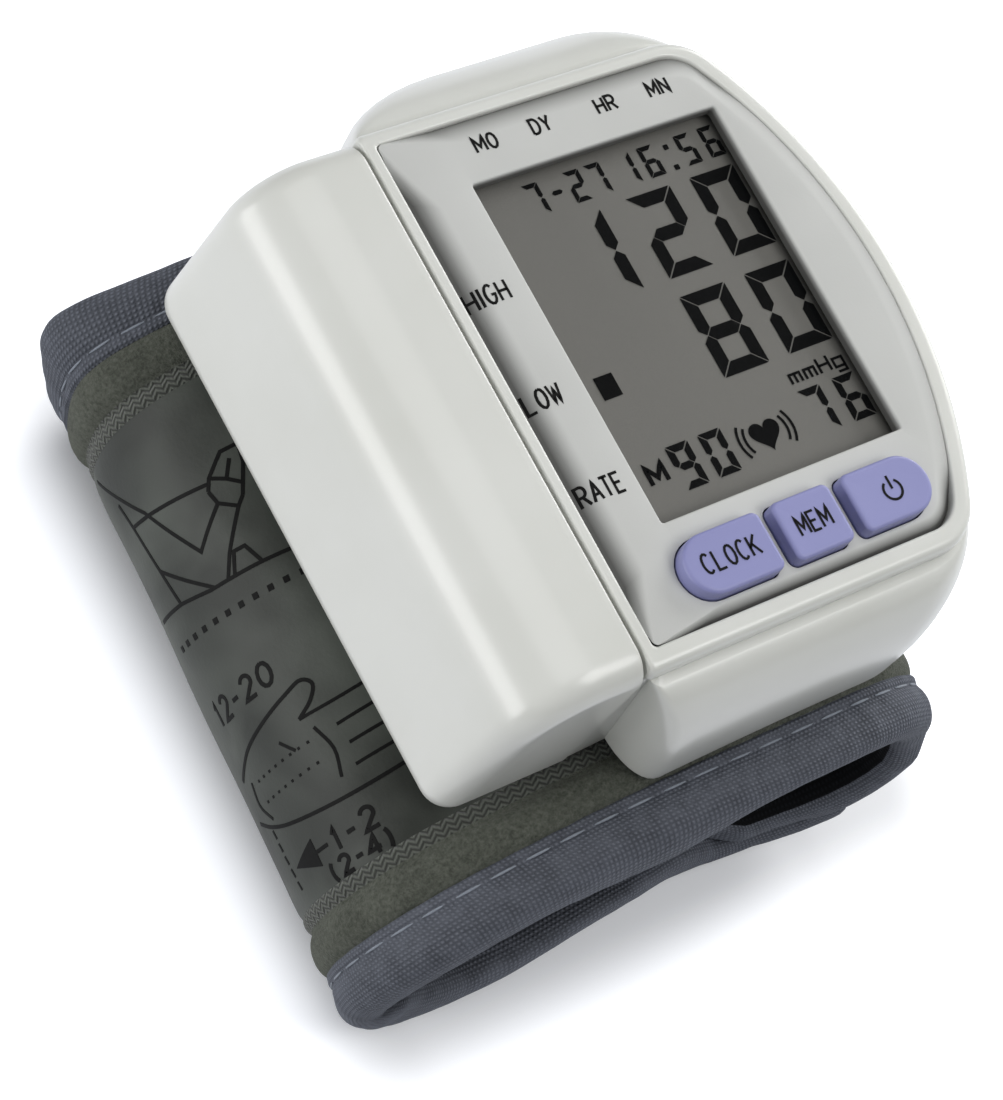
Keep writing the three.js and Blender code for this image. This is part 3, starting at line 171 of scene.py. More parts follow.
def finish_named(name, colour, roughness, **sockets):
    """A material, its tree and its shader, with plain values on the shader's own sockets."""
    material = bpy.data.materials.new(name)
    material.use_nodes = True
    shader = material.node_tree.nodes["Principled BSDF"]
    shader.inputs["Base Color"].default_value = paint(colour)
    shader.inputs["Roughness"].default_value = roughness
    for socket, value in sockets.items():
        shader.inputs[socket.replace("_", " ")].default_value = value
    return material, material.node_tree, shader


def blended(tree, factor, one, two):
    """A mix of two colours by a factor."""
    mix = add(tree, "Mix", data_type="RGBA", clamp_factor=True)
    for socket, value in ((mix.inputs[0], factor), (mix.inputs[6], one), (mix.inputs[7], two)):
        if isinstance(value, bpy.types.NodeSocket):
            tree.links.new(value, socket)
        else:
            socket.default_value = value
    return mix.outputs[2]


def object_place(tree):
    return add(tree, "TexCoord").outputs["Object"]


def noise(tree, scale, detail=2.0, **more):
    """Noise on Object coordinates."""
    inputs = {"Vector": object_place(tree), "Scale": scale, "Detail": detail, **more}
    return add(tree, "TexNoise", inputs).outputs["Fac"]


def ranged(tree, value, low=0.0, high=1.0, to_low=0.0, to_high=1.0, **settings):
    """A value moved from one range to another."""
    limits = {"From Min": low, "From Max": high, "To Min": to_low, "To Max": to_high}
    return add(tree, "MapRange", {"Value": value, **limits}, **settings).outputs[0]


def tinted(tree, shader, factor, low, high):
    """A shader's colour between two paint codes, by a factor."""
    tree.links.new(blended(tree, factor, paint(low), paint(high)), shader.inputs["Base Color"])


def bumped(tree, shader, height, strength, distance):
    bump = add(tree, "Bump", {"Height": height, "Strength": strength, "Distance": distance})
    tree.links.new(bump.outputs["Normal"], shader.inputs["Normal"])


def math_of(tree, operation, *values):
    return add(tree, "Math", dict(enumerate(values)), operation=operation).outputs[0]


def times(tree, one, two):
    return math_of(tree, "MULTIPLY", one, two)


def plus(tree, one, two):
    return math_of(tree, "ADD", one, two)


def dress(node, material):
    """One material in place of all that a node of the frame has."""
    node.data.materials.clear()
    node.data.materials.append(material)


# %% Moulded plastics
def moulded(name, colour, clouded, roughness, grain=2600.0, relief=0.06, **sockets):
    """Moulded plastic: a fine grain from the mould and slow clouding between two close colours."""
    material, tree, shader = finish_named(name, colour, roughness, **sockets)
    cloud = noise(tree, 55.0, 3.0)
    tinted(tree, shader, ranged(tree, cloud, 0.35, 0.65), colour, clouded)
    worn = ranged(tree, cloud, to_low=roughness * 0.88, to_high=roughness * 1.12)
    tree.links.new(worn, shader.inputs["Roughness"])
    bumped(tree, shader, noise(tree, grain), relief, 0.00005)
    return material


white_plastic = moulded("white_plastic", "#d5d6d0", "#dadbd6", 0.3, Coat_Weight=0.35, Coat_Roughness=0.2)
silver_paint = moulded("silver_paint", "#c0c1be", "#c5c6c3", 0.42, grain=5200.0, relief=0.12, Specular_IOR_Level=0.3)
# Painted shade: the scoops are painted darker towards their foot, by height in metres above the part's rest face, where
# the rim shades them.
SCOOP_FOOT, SCOOP_TOP = 0.0611, 0.06197
tree = silver_paint.node_tree
shade_in = tree.nodes["Principled BSDF"].inputs["Base Color"]
height = add(tree, "SeparateXYZ", {0: object_place(tree)}).outputs["Z"]
out_of_painted_shade = ranged(tree, height, SCOOP_FOOT, SCOOP_TOP)
tree.links.new(blended(tree, out_of_painted_shade, paint("#5b5b59"), shade_in.links[0].from_socket), shade_in)
lilac_plastic = moulded("lilac_plastic", "#8789b9", "#8b8dbd", 0.42, relief=0.1)
black_plastic = moulded("black_plastic", "#1b1b1d", "#242427", 0.5)
clear_nylon = moulded("natural_nylon", "#d6d8d2", "#e0e1dc", 0.4)
hose_rubber = moulded("hose_rubber", "#c3c6c2", "#cdcfcb", 0.55)
print("plastics:", [m.name for m in (white_plastic, silver_paint, lilac_plastic, black_plastic)])

# %% [markdown]
# ## The plan of the case
# Seen from above, the case has a straight left side against the battery cover, straight front and rear ends, and a
# right side that is one wide arc. Rim, panel and walls are all this one outline at another offset and height, so
# a function gives it as a ring of points that always has the same count.

# %% Plan ring
FACE_LEFT, FACE_RIGHT, FACE_REAR, FACE_FRONT = 24.9, 26.2, 29.0, 33.6
SIDE_RADIUS, SIDE_MIDDLE, FACE_CORNER, TIGHT = 57.0, 2.5, 7.0, 0.6


def arc(x, y, across, along, start, end, steps):
    turn = np.linspace(start, end, steps + 1)
    return np.stack([x + across * np.cos(turn), y + along * np.sin(turn)], 1)


def run_between(start, end, count):
    """Points between two ends, without the ends."""
    share = np.arange(1, count + 1)[:, None] / (count + 1)
    return np.asarray(start) + (np.asarray(end) - np.asarray(start)) * share


def plan(grow=0.0, side=None, left=0.0, rear=None, front_corner=(TIGHT, TIGHT), rear_corner=(TIGHT, TIGHT)):
    side = grow if side is None else side
    rear = grow if rear is None else rear
    x_left, y_front, y_rear = -FACE_LEFT - left, -FACE_FRONT - grow, FACE_REAR + rear
    x_mid, radius, corner = FACE_RIGHT - SIDE_RADIUS, SIDE_RADIUS + side, max(FACE_CORNER + grow, TIGHT)
    front_y, rear_y = y_front + corner, y_rear - corner
    front_x, rear_x = (x_mid + math.sqrt((radius - corner) ** 2 - (y + SIDE_MIDDLE) ** 2) for y in (front_y, rear_y))
    front_turn = math.atan2(front_y + SIDE_MIDDLE, front_x - x_mid)
    rear_turn = math.atan2(rear_y + SIDE_MIDDLE, rear_x - x_mid)
    front_start = arc(x_left + front_corner[0], y_front + front_corner[1], *front_corner, 2 * QUARTER, 3 * QUARTER, 9)
    front_end = arc(front_x, front_y, corner, corner, -QUARTER, front_turn, 10)
    rear_start = arc(rear_x, rear_y, corner, corner, rear_turn, QUARTER, 10)
    rear_end = arc(x_left + rear_corner[0], y_rear - rear_corner[1], *rear_corner, QUARTER, 2 * QUARTER, 9)
    return np.concatenate([
        front_start, run_between(front_start[-1], front_end[0], 14), front_end,
        arc(x_mid, -SIDE_MIDDLE, radius, radius, front_turn, rear_turn, 36)[1:-1],
        rear_start, run_between(rear_start[-1], rear_end[0], 14), rear_end,
        run_between(rear_end[-1], front_start[0], 10),
    ])


def at_height(outline, z):
    return np.column_stack([outline, np.broadcast_to(z, len(outline))])


print("points round the case:", len(plan()))

# %% [markdown]
# ## Top housing: the raised rim
# The rim is a ring of plastic with a rounded outer edge and a tiny break on its inner edge. As a closed section
# swept round the plan it gets clean quads and soft highlights, which a bevel on the CAD solid wouldn't give.

# %% Rim
RIM_RADIUS, CREASE, EDGE_BREAK = 1.1, 2.4, 0.35
rim_rings = []
for z, grow in [(-CREASE, -0.2), (-CREASE + 0.12, -0.06), (-CREASE + 0.35, 0.0), (-1.5, 0.0)] + [
    (-RIM_RADIUS * (1 - math.sin(t)), -RIM_RADIUS * (1 - math.cos(t))) for t in np.linspace(0, QUARTER, 10)
]:
    up = max(0.0, z + EDGE_BREAK) / EDGE_BREAK
    rim_rings.append(at_height(plan(grow, left=-EDGE_BREAK * (1 - math.sqrt(1 - up * up))), z))
for t in np.linspace(0, QUARTER, 6):
    back, z = EDGE_BREAK * (1 - math.sin(t)), -EDGE_BREAK * (1 - math.cos(t))
    rim_rings.append(at_height(plan(back - 2.4, left=back - 1.4, rear=back - 1.8), z))
for grow, left, rear, z in ((-2.4, -1.4, -1.8, -1.9), (-3.4, -3.4, -3.4, -1.9), (-3.4, -3.4, -3.4, -3.2),
                            (-1.95, -1.95, -1.95, -3.2), (-1.95, -1.95, -1.95, -CREASE)):
    rim_rings.append(at_height(plan(grow, left=left, rear=rear), z))
face_rim = make_piece("face_rim", *skin(rim_rings, closed=True), white_plastic)
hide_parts("top_housing")
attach(face_rim, "unit")
print("rim faces:", len(face_rim.data.polygons))

# %% [markdown]
# ## Bottom housing: bulging walls over a saddle
# Below the crease the front, rear and right walls swell out, and underneath the case is cut to the cuff's wide
# arc. Each point of the plan makes a column that runs down the bulge until it meets the saddle, with a soft roll
# at the bottom. The same function drawn in by the wall makes the inside, so the tub is one closed shell.

# %% Columns of the walls
WALL, BULGE_DROP, BULGE_OUT, REAR_OUT, SIDE_OUT, LEAN = 1.8, 13.0, 5.9, 8.6, 2.7, 4.4
BOTTOM, SADDLE_X, SADDLE_Z, SADDLE_RADIUS = 23.6, 7.0, -20.4, 133.0


def saddle(x, offset=0.0):
    return SADDLE_Z - SADDLE_RADIUS + np.sqrt((SADDLE_RADIUS + offset) ** 2 - (x - SADDLE_X) ** 2)


def bulging(z, inset):
    """Plan of the bulging walls at one height."""
    deep = min(max((-CREASE - z) / BULGE_DROP, 0.0), 1.0)
    share = math.sqrt(1 - (1 - deep) ** 2)
    lean = TIGHT + LEAN * (-CREASE - z) / (BOTTOM - CREASE) + inset
    run = FACE_LEFT + FACE_RIGHT
    return plan(
        BULGE_OUT * share - inset, SIDE_OUT * share - inset, -lean, REAR_OUT * share - inset,
        (TIGHT + 0.05 * run * share, TIGHT + BULGE_OUT * share),
        (TIGHT + 0.33 * run * share, TIGHT + REAR_OUT * share),
    )


def straight(z, inset):
    return plan(-0.3 - inset, left=-inset)


def column_rings(outline, top, inset, roll, rows=26):
    """Rings from the top down to the saddle, drawn in by a roll at the bottom."""
    round_part = top - BULGE_DROP * (1 - np.cos(np.linspace(0, QUARTER, 19)))
    depth = np.concatenate([round_part, np.linspace(-17, -30, 27)])
    levels = np.stack([at_height(outline(max(z, -29.0), inset), z) for z in depth])
    rings = np.empty((rows, levels.shape[1], 3))
    for i in range(levels.shape[1]):
        column = levels[:, i]
        above = column[:, 2] - saddle(column[:, 0], inset) - roll
        last = int(np.argmax(above <= 0))
        share = above[last - 1] / (above[last - 1] - above[last])
        stop = last - 1 + share
        step = stop * np.linspace(0, 1, rows) ** 1.15
        base = np.minimum(step.astype(int), len(depth) - 2)
        part = (step - base)[:, None]
        rings[:, i] = column[base] * (1 - part) + column[base + 1] * part
    return list(rings)


def rolled(ring, roll, inset, steps=7):
    """Rings that turn in from the last ring by a quarter round and end on the saddle."""
    ahead, behind = np.roll(ring, -1, 0), np.roll(ring, 1, 0)
    along = (ahead - behind)[:, :2]
    inward = np.stack([-along[:, 1], along[:, 0]], 1) / np.linalg.norm(along, axis=1)[:, None]
    found = []
    for t in np.linspace(0, QUARTER, steps + 1)[1:]:
        moved = ring.copy()
        moved[:, :2] += inward * roll * (1 - math.cos(t))
        moved[:, 2] = saddle(moved[:, 0], inset) + roll * (1 - math.sin(t))
        found.append(moved)
    return found


def covered(ring, offset, shares=(0.8, 0.5, 0.25, 0.08)):
    """Rings that close over the saddle, from an edge to the middle."""
    middle = ring.mean(0)
    found = []
    for share in shares:
        inner = middle + (ring - middle) * share
        inner[:, 2] = saddle(inner[:, 0], offset)
        found.append(inner)
    return found


def tub(outline, roll):
    """A closed shell: down the outside, under the saddle, and the same drawn in by the wall."""
    top = -CREASE - 0.15
    outer = column_rings(outline, top, 0.0, roll)
    outer += rolled(outer[-1], roll, 0.0)
    outer += covered(outer[-1], 0.0)
    inner = column_rings(outline, top, WALL, roll)
    inner += rolled(inner[-1], roll, WALL)
    inner += covered(inner[-1], WALL)
    return skin(inner[::-1] + outer, caps=(True, True))


lower_shell = make_piece("lower_shell", *merged(tub(bulging, 1.6), tub(straight, 0.5)), white_plastic, sharp=40)
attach(lower_shell, "unit")
print("lower shell faces:", len(lower_shell.data.polygons))

# %% [markdown]
# ## Battery tray
# Under the cover a cradle holds the two cells between two ribs. It is a prism of a section with a round groove, so the
# section is drawn once and pulled along the case.

# %% Tray with its cradle and ribs
CELL_RADIUS, BAY_FRONT, BAY_REAR, RIB = 5.25, -27.05, 22.45, 1.6
CELL_X, LOWER_CELL_Z = -FACE_LEFT - 0.3 - CELL_RADIUS, -2.3 - 3 * CELL_RADIUS - 0.3
TRAY_LEFT, TRAY_BOTTOM = -FACE_LEFT - 14.5 + 1.5 + 0.3 + 0.3, LOWER_CELL_Z - CELL_RADIUS - 1.5
TRAY_RIGHT, GROOVE_RADIUS = -24.0, 5.55


def ring_along(section, y):
    return np.column_stack([section[:, 0], np.full(len(section), y), section[:, 1]])


def along_y(section, front, rear):
    """A closed prism of an XZ section between two places along Y."""
    section = np.asarray(section, float)
    return skin([ring_along(section, y) for y in (front, rear)], caps=(True, True))


groove_top = LOWER_CELL_Z - CELL_RADIUS / 2
groove = [
    (CELL_X + GROOVE_RADIUS * math.cos(t), LOWER_CELL_Z + GROOVE_RADIUS * math.sin(t))
    for t in np.linspace(math.radians(208.2), math.radians(331.8), 22)
]
foot = [(x, max(TRAY_BOTTOM, float(saddle(x)) + 0.05)) for x in np.linspace(TRAY_RIGHT, TRAY_LEFT, 12)]
cradle = [(TRAY_LEFT, groove_top), *groove, (TRAY_RIGHT, groove_top), *foot]
rib_top = [(TRAY_RIGHT, -4.2), (-25.2, -4.2), (-25.2, -1.8)]
rib_left = arc(-30.4, -9, 7.2, 7.2, QUARTER, math.radians(172.8), 15).tolist()
rib = [*rib_top, *rib_left, (TRAY_LEFT, -12.0), (TRAY_LEFT, TRAY_BOTTOM), *foot[::-1][1:]]
battery_tray = make_piece("battery_tray", *merged(
    along_y(cradle, BAY_FRONT - RIB, BAY_REAR + RIB),
    along_y(rib, BAY_FRONT - RIB, BAY_FRONT),
    along_y(rib, BAY_REAR, BAY_REAR + RIB),
), white_plastic)
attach(battery_tray, "unit")
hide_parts("bottom_housing")
print("cell groove from", round(groove[0][0], 2), "to", round(groove[-1][0], 2), "mm")

# %% [markdown]
# ## Battery cover
# The cover is a long lobe whose section rises from the seam over a broad shoulder and leans in to a rounded foot.
# Its section is an outline drawn in by an inset, and both ends round off by the same inset, so the whole lobe is
# again rings from end to end. An inner skin at the wall's depth and a flat face at the seam close it as a shell.

# %% Cover section and shell
COVER_WIDTH, SHOULDER, SLANT, FOOT_CORNER, COVER_DEPTH = 14.5, 9.0, math.radians(7.2), 3.4, 26.0
END_ROUND, COVER_WALL, SEAM_X, SEAM_BREAK = 3.2, 1.5, -25.2, 0.35


def cover_section(inset, offset=0.0):
    """Section from the seam's top over the shoulder to the foot and back to the seam."""
    side = math.pi - SLANT
    x_mid = -FACE_LEFT - COVER_WIDTH + SHOULDER
    z_foot = -COVER_DEPTH + FOOT_CORNER
    z_side = -SHOULDER + (SHOULDER - FOOT_CORNER) * math.sin(side)
    slide = (z_side - z_foot) / math.cos(SLANT)
    x_foot = x_mid + (SHOULDER - FOOT_CORNER) * math.cos(side) - slide * math.sin(SLANT)
    over = arc(x_mid, -SHOULDER, SHOULDER - inset, SHOULDER - inset, QUARTER, side, 22)
    under = arc(x_foot, z_foot, FOOT_CORNER - inset, FOOT_CORNER - inset, side, 1.5 * math.pi, 9)
    edge = arc(SEAM_X - SEAM_BREAK, -inset - SEAM_BREAK, SEAM_BREAK, SEAM_BREAK, 0, QUARTER, 4)
    section = np.concatenate([
        edge, run_between(edge[-1], over[0], 4), over, run_between(over[-1], under[0], 6), under,
        run_between(under[-1], (SEAM_X, -COVER_DEPTH + inset), 10), [(SEAM_X, -COVER_DEPTH + inset)],
    ])
    section[:, 1] = np.maximum(section[:, 1], saddle(section[:, 0], offset) + 0.02)
    return section


turns = np.linspace(0, QUARTER, 11)
ends = [(END_ROUND * (1 - math.sin(t)), END_ROUND * (1 - math.cos(t))) for t in turns]
outer_rings = [ring_along(cover_section(inset), FACE_REAR - along) for inset, along in ends]
outer_rings += [ring_along(cover_section(0.0), y) for y in np.linspace(FACE_REAR - 5, -FACE_FRONT + 5, 9)]
outer_rings += [ring_along(cover_section(inset), -FACE_FRONT + along) for inset, along in ends[::-1]]
inner_section = cover_section(COVER_WALL, COVER_WALL)
inner_rings = [ring_along(inner_section, y) for y in (FACE_REAR - COVER_WALL, -FACE_FRONT + COVER_WALL)]


def shell_of_cover():
    """Outer and inner skins, their end caps, and the flat face between them at the seam."""
    outer = skin(outer_rings, around=False)
    inner = skin(inner_rings, around=False)
    count, last = len(outer_rings[0]), len(outer_rings) - 1
    outer[1].append(tuple(range(count)))
    outer[1].append(tuple(last * count + i for i in range(count))[::-1])
    inner[1].append(tuple(range(count))[::-1])
    inner[1].append(tuple(count + i for i in range(count)))
    points, faces = merged(outer, inner)
    start = len(outer[0])
    outline = [r * count for r in range(last + 1)] + [r * count + count - 1 for r in range(last, -1, -1)]
    hollow = [start, start + count, start + 2 * count - 1, start + count - 1]
    shaped = bmesh.new()
    corners = {i: shaped.verts.new(points[i]) for i in outline + hollow}
    edges = [shaped.edges.new((corners[a], corners[b])) for loop in (outline, hollow)
             for a, b in zip(loop, loop[1:] + loop[:1])]
    bmesh.ops.triangle_fill(shaped, use_beauty=True, edges=edges)
    index = {vertex: i for i, vertex in corners.items()}
    faces += [tuple(index[v] for v in face.verts) for face in shaped.faces]
    shaped.free()
    return points, faces


battery_lid = make_piece("battery_lid", *shell_of_cover(), white_plastic)
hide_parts("battery_cover")
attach(battery_lid, "cover")
print("cover faces:", len(battery_lid.data.polygons))

# %% [markdown]
# ## Display panel
# The silver panel is a plate whose edges fall away in scoops that fade out at the two left corners. Rings between its
# outer edge and the flat middle carry the scoop, and the flat middle is filled with triangles that leave its openings
# free. Its paint is darker towards the foot of the scoops, a painted shade from the rim. Each opening gets a small
# break, because a sharp paper edge never catches the light. The walls of the button openings take the dark plastic as
# painted shade, standing in for the dark gap round each button.

# %% Outlines of the panel and its openings
WINDOW_WIDTH, WINDOW_LENGTH, PANEL_BACK, SCOOP, SCOOP_WIDTH = 31.4, 40.0, -1.6, 1.4, 3.2
PANEL_FRONT, PANEL_LEFT, PANEL_REAR = 2.55, 1.55, 1.95
BUTTON_FRONT, BUTTON_REAR, KEY_GAP = -29.3, -22.7, 0.15
BUTTONS = {
    "time": (-17.2, -6.4, 3.3, 0.9), "memory": (-4.8, 2.7, 0.9, 0.9), "power": (4.3, 14.3, 0.9, 3.3),
}


def rounded(left, right, low, high, left_radius, right_radius, steps=7):
    return np.concatenate([
        arc(left + left_radius, low + left_radius, left_radius, left_radius, 2 * QUARTER, 3 * QUARTER, steps),
        arc(right - right_radius, low + right_radius, right_radius, right_radius, 3 * QUARTER, 4 * QUARTER, steps),
        arc(right - right_radius, high - right_radius, right_radius, right_radius, 0, QUARTER, steps),
        arc(left + left_radius, high - left_radius, left_radius, left_radius, QUARTER, 2 * QUARTER, steps),
    ])


def panel_drop(x, y):
    """How far the panel's surface lies below its flat middle, along its left scoop."""
    share = np.clip((x + FACE_LEFT - 1.45) / (SCOOP_WIDTH + 0.1), 0, 1)
    end = np.minimum(y + FACE_FRONT - PANEL_FRONT, FACE_REAR - PANEL_REAR - y)
    fade = np.minimum(1, np.maximum(end, 0) / (2 * SCOOP_WIDTH))
    return SCOOP * fade * (1 - share) ** 1.5


def refined(outline, guide, step=0.6):
    """An outline with as many points between its corners as an even step gives along a guide in the same order."""
    parts = []
    for a, b, c, d in zip(outline, np.roll(outline, -1, 0), guide, np.roll(guide, -1, 0)):
        count = max(1, int(math.dist(c, d) / step))
        parts.append(a + (b - a) * np.arange(count)[:, None] / count)
    return np.concatenate(parts)


stiff_edge = plan(-2.45, left=-1.45, rear=-1.85)
panel_edge = refined(stiff_edge, stiff_edge)
panel_flat = refined(plan(
    -PANEL_FRONT - 1.3, -PANEL_FRONT - 0.6 * SCOOP_WIDTH, -PANEL_LEFT - SCOOP_WIDTH, -PANEL_REAR - 0.8 * SCOOP_WIDTH,
), stiff_edge)
from_left = panel_edge[:, 0] + FACE_LEFT - PANEL_LEFT
from_end = np.minimum(panel_edge[:, 1] + FACE_FRONT - PANEL_FRONT, FACE_REAR - PANEL_REAR - panel_edge[:, 1])
fade = np.minimum(1, np.hypot(from_left, np.maximum(from_end, 0)) / (2 * SCOOP_WIDTH))
reach = fade[:, None] ** 1.1
shallow = 1 - 0.85 * smooth_step((panel_edge[:, 0] - 12) / 8) * smooth_step((panel_edge[:, 1] + 31) / 6)
shallow *= 1 - 0.45 * smooth_step((panel_edge[:, 1] - 22) / 4)
scoop_rings = []
for t in (0, 0.08, 0.16, 0.25, 0.36, 0.48, 0.6, 0.72, 0.84, 0.93, 1):
    outline = panel_edge + (panel_flat - panel_edge) * t * np.maximum(reach, 0.02)
    scoop_rings.append(at_height(outline, -SCOOP * fade * shallow * (1 - t) ** 1.5))
half_width, half_length = WINDOW_WIDTH / 2, WINDOW_LENGTH / 2
openings = [(-half_width, half_width, -half_length, half_length, 0.3, 0.3)]
openings += [
    (l - KEY_GAP, r + KEY_GAP, BUTTON_FRONT - KEY_GAP, BUTTON_REAR + KEY_GAP, a + KEY_GAP, b + KEY_GAP)
    for l, r, a, b in BUTTONS.values()
]


def grown(opening, by):
    l, r, low, high, a, b = opening
    return rounded(l - by, r + by, low - by, high + by, a + by, b + by)


# %% Panel with its openings
def inside(x, y, loop):
    a, b = loop, np.roll(loop, -1, 0)
    across = (a[:, 1] > y) != (b[:, 1] > y)
    at = a[:, 0] + (y - a[:, 1]) * (b[:, 0] - a[:, 0]) / (b[:, 1] - a[:, 1] + 1e-12)
    return bool(np.count_nonzero(across & (x < at)) % 2)


def filled(loops):
    """Triangles between closed loops that lie in one plane: the first is the outline, the others are holes."""
    points, edges, start = np.concatenate(loops), [], 0
    for loop in loops:
        edges += [(start + i, start + (i + 1) % len(loop)) for i in range(len(loop))]
        start += len(loop)
    found = delaunay_2d_cdt([Vector(p[:2]) for p in points], edges, [], 1, 1e-6)
    faces = []
    for corners in found[2]:
        face = tuple(found[3][i][0] for i in corners)
        x, y = points[list(face), :2].mean(0)
        if sum(inside(x, y, loop) for loop in loops) == 1:
            faces.append(face)
    return points, faces


breaks = [0.3, 0.1, 0.1, 0.1]
hole_walls = []
for opening, soft in zip(openings, breaks):
    rings = [at_height(grown(opening, soft * (1 - math.sin(t))), -soft * (1 - math.cos(t)))
             for t in np.linspace(0, QUARTER, 5)]
    rings.append(at_height(grown(opening, 0), PANEL_BACK))
    hole_walls.append(skin(rings))
top_loops = [scoop_rings[-1]] + [at_height(grown(o, soft), 0.0) for o, soft in zip(openings, breaks)]
back_loops = [at_height(panel_edge, PANEL_BACK)] + [at_height(grown(o, 0), PANEL_BACK) for o in openings]
face_panel = make_piece("face_panel", *merged(
    skin([at_height(panel_edge, PANEL_BACK)] + scoop_rings), filled(top_loops), filled(back_loops), *hole_walls,
), silver_paint, sharp=25)
# Painted shade: the walls of the button openings take the black plastic, standing in for the dark gap round each
# button.
face_panel.data.materials.append(black_plastic)
for polygon in face_panel.data.polygons:
    low = polygon.center.z < placed([(0, 0, -0.12)])[0][2] and polygon.center.y < placed([(0, -22, 0)])[0][1]
    if low and abs(polygon.normal.z) < 0.3:
        polygon.material_index = 1
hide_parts("display_panel")
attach(face_panel, "unit")
print("panel openings:", len(openings))

# %% [markdown]
# ## Buttons
# Each button is a low cap with a small round over its rim and a top that dips very slightly, as soft-touch
# keys do. The cap, the flange that holds it under the panel and the stem below are one closed skin of rings.

# %% Button caps
def button_rings(left, right, left_radius, right_radius):
    def ring(inset, z):
        return at_height(rounded(
            left + inset, right - inset, BUTTON_FRONT + inset, BUTTON_REAR - inset,
            max(left_radius - inset, 0.15), max(right_radius - inset, 0.15), 9), z)

    middle = (left + right) / 2
    stem = [at_height(arc(middle, -26, r, r, math.pi, 3 * math.pi, 39), z) for r, z in ((1.2, -3.4), (1.4, -3.2))]
    rings = [stem[0], stem[1], at_height(stem[1][:, :2], -2.8), ring(-0.6, -2.8), ring(-0.6, -1.9), ring(0, -1.9)]
    rings += [ring(0, z) for z in (-1.0, 0.0, 1.0, 1.4)]
    rings += [ring(0.46 * (1 - math.cos(t)), 1.42 + 0.46 * math.sin(t)) for t in np.linspace(0, QUARTER, 9)]
    rings += [ring(inset, z) for inset, z in ((0.75, 1.875), (1.2, 1.855), (2.0, 1.84), (3.0, 1.835))]
    return rings


for key, spans in BUTTONS.items():
    cap = make_piece(f"{key}_cap", *skin(button_rings(*spans), caps=(True, True)), lilac_plastic, sharp=40)
    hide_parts(f"{key}_button")
    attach(cap, f"{key}_key")
print("buttons:", list(BUTTONS))

# %% [markdown]
# ## Display
# Behind the window lies a grey reflective display. Its figures are dark seven-part digits: each part is a small
# polygon with mitred ends, and a table says which parts a digit lights. Thin closed slabs make them, so they are
# crisp at any size, and plain clear plastic lies over them.

# %% Display ground and window
display_ground, tree, shader = finish_named("display_ground", "#6f6e69", 0.42)
tinted(tree, shader, times(tree, noise(tree, 34.0, 1.0), noise(tree, 6500.0, 1.0)), "#6b6a65", "#7d7b75")
dress(frame["nodes"]["display_module"], display_ground)

clear_window, tree, shader = finish_named("clear_window", "#33363a", 0.04, Alpha=0.04, IOR=1.45, Specular_IOR_Level=0.3)
tree.links.new(ranged(tree, noise(tree, 120.0), to_low=0.02, to_high=0.08), shader.inputs["Roughness"])
dress(frame["nodes"]["display_lens"], clear_window)
digit_ink, tree, shader = finish_named("digit_ink", "#050504", 0.7, Specular_IOR_Level=0.05)
tinted(tree, shader, noise(tree, 900.0), "#030302", "#080807")

# %% Digits
LIT = {"0": "abcdef", "1": "bc", "2": "abged", "3": "abgcd", "4": "fgbc", "5": "afgcd", "6": "afgedc",
       "7": "abc", "8": "abcdefg", "9": "abcdfg", "-": "g"}


def digit(figure, x, y, width, height, stroke, gap=0.12, slant=0.0):
    """Polygons of a seven-part digit with its lower left corner at x, y."""
    half, t, g = height / 2, stroke, gap
    upright = [(0, g), (t, t + g), (t, half - t / 2 - g / 2), (t / 2, half - g / 2), (0, half - t / 2)]
    parts = {
        "e": upright, "f": [(a, height - b) for a, b in upright],
        "c": [(width - a, b) for a, b in upright], "b": [(width - a, height - b) for a, b in upright],
        "d": [(g, 0), (width - g, 0), (width - t - g, t), (t + g, t)],
        "a": [(g, height), (width - g, height), (width - t - g, height - t), (t + g, height - t)],
        "g": [(g + t / 2, half), (t + g, half - t / 2), (width - t - g, half - t / 2), (width - g - t / 2, half),
              (width - t - g, half + t / 2), (t + g, half + t / 2)],
    }
    return [[(x + a + slant * b, y + b) for a, b in parts[part]] for part in LIT[figure]]


def slabs(name, polygons, z, thickness, material, body, strips=()):
    """Thin closed slabs of flat polygons on a plane, with strips that are already made."""
    points, faces = [], []
    for polygon in polygons:
        area = sum(a[0] * b[1] - b[0] * a[1] for a, b in zip(polygon, polygon[1:] + polygon[:1]))
        polygon = polygon if area > 0 else polygon[::-1]
        start, count = len(points), len(polygon)
        points += [(x, y, z) for x, y in polygon] + [(x, y, z + thickness) for x, y in polygon]
        faces.append(tuple(range(start, start + count))[::-1])
        faces.append(tuple(range(start + count, start + 2 * count)))
        faces += [(start + i, start + (i + 1) % count, start + count + (i + 1) % count, start + count + i)
                  for i in range(count)]
    made = make_piece(name, *merged((np.array(points), faces), *strips), material, sharp=20)
    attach(made, body)
    return made


figures = []
for text, x, y, width, height, stroke, pitch in (
    ("1", -7.8, 4.3, 5.8, 9.8, 1.5, 0), ("20", 1.4, 4.3, 5.8, 9.8, 1.5, 8.5), ("80", 1.2, -7.7, 5.9, 9.8, 1.5, 8.6),
    ("76", 8.1, -17.0, 2.95, 5.2, 0.8, 4.7), ("90", -9.6, -17.3, 2.85, 5.0, 0.8, 4.2),
):
    for place_in_row, figure in enumerate(text):
        figures += digit(figure, x + pitch * place_in_row, y, width, height, stroke)
for figure, x in zip("7-271656", (-9.2, -6.5, -3.9, -1.2, 2.7, 5.8, 10.7, 13.9)):
    figures += digit(figure, x, 15.4, 1.95, 3.65, 0.5, 0.06)
figures += [rounded(9.3 - 0.3, 9.3 + 0.3, y - 0.3, y + 0.3, 0.1, 0.1, 2).tolist() for y in (15.7, 18.2)]
figures.append([(-13.0, -5.5), (-10.7, -5.5), (-10.7, -2.9), (-13.0, -2.9)])
figures = [[tuple(p) for p in polygon] for polygon in figures]
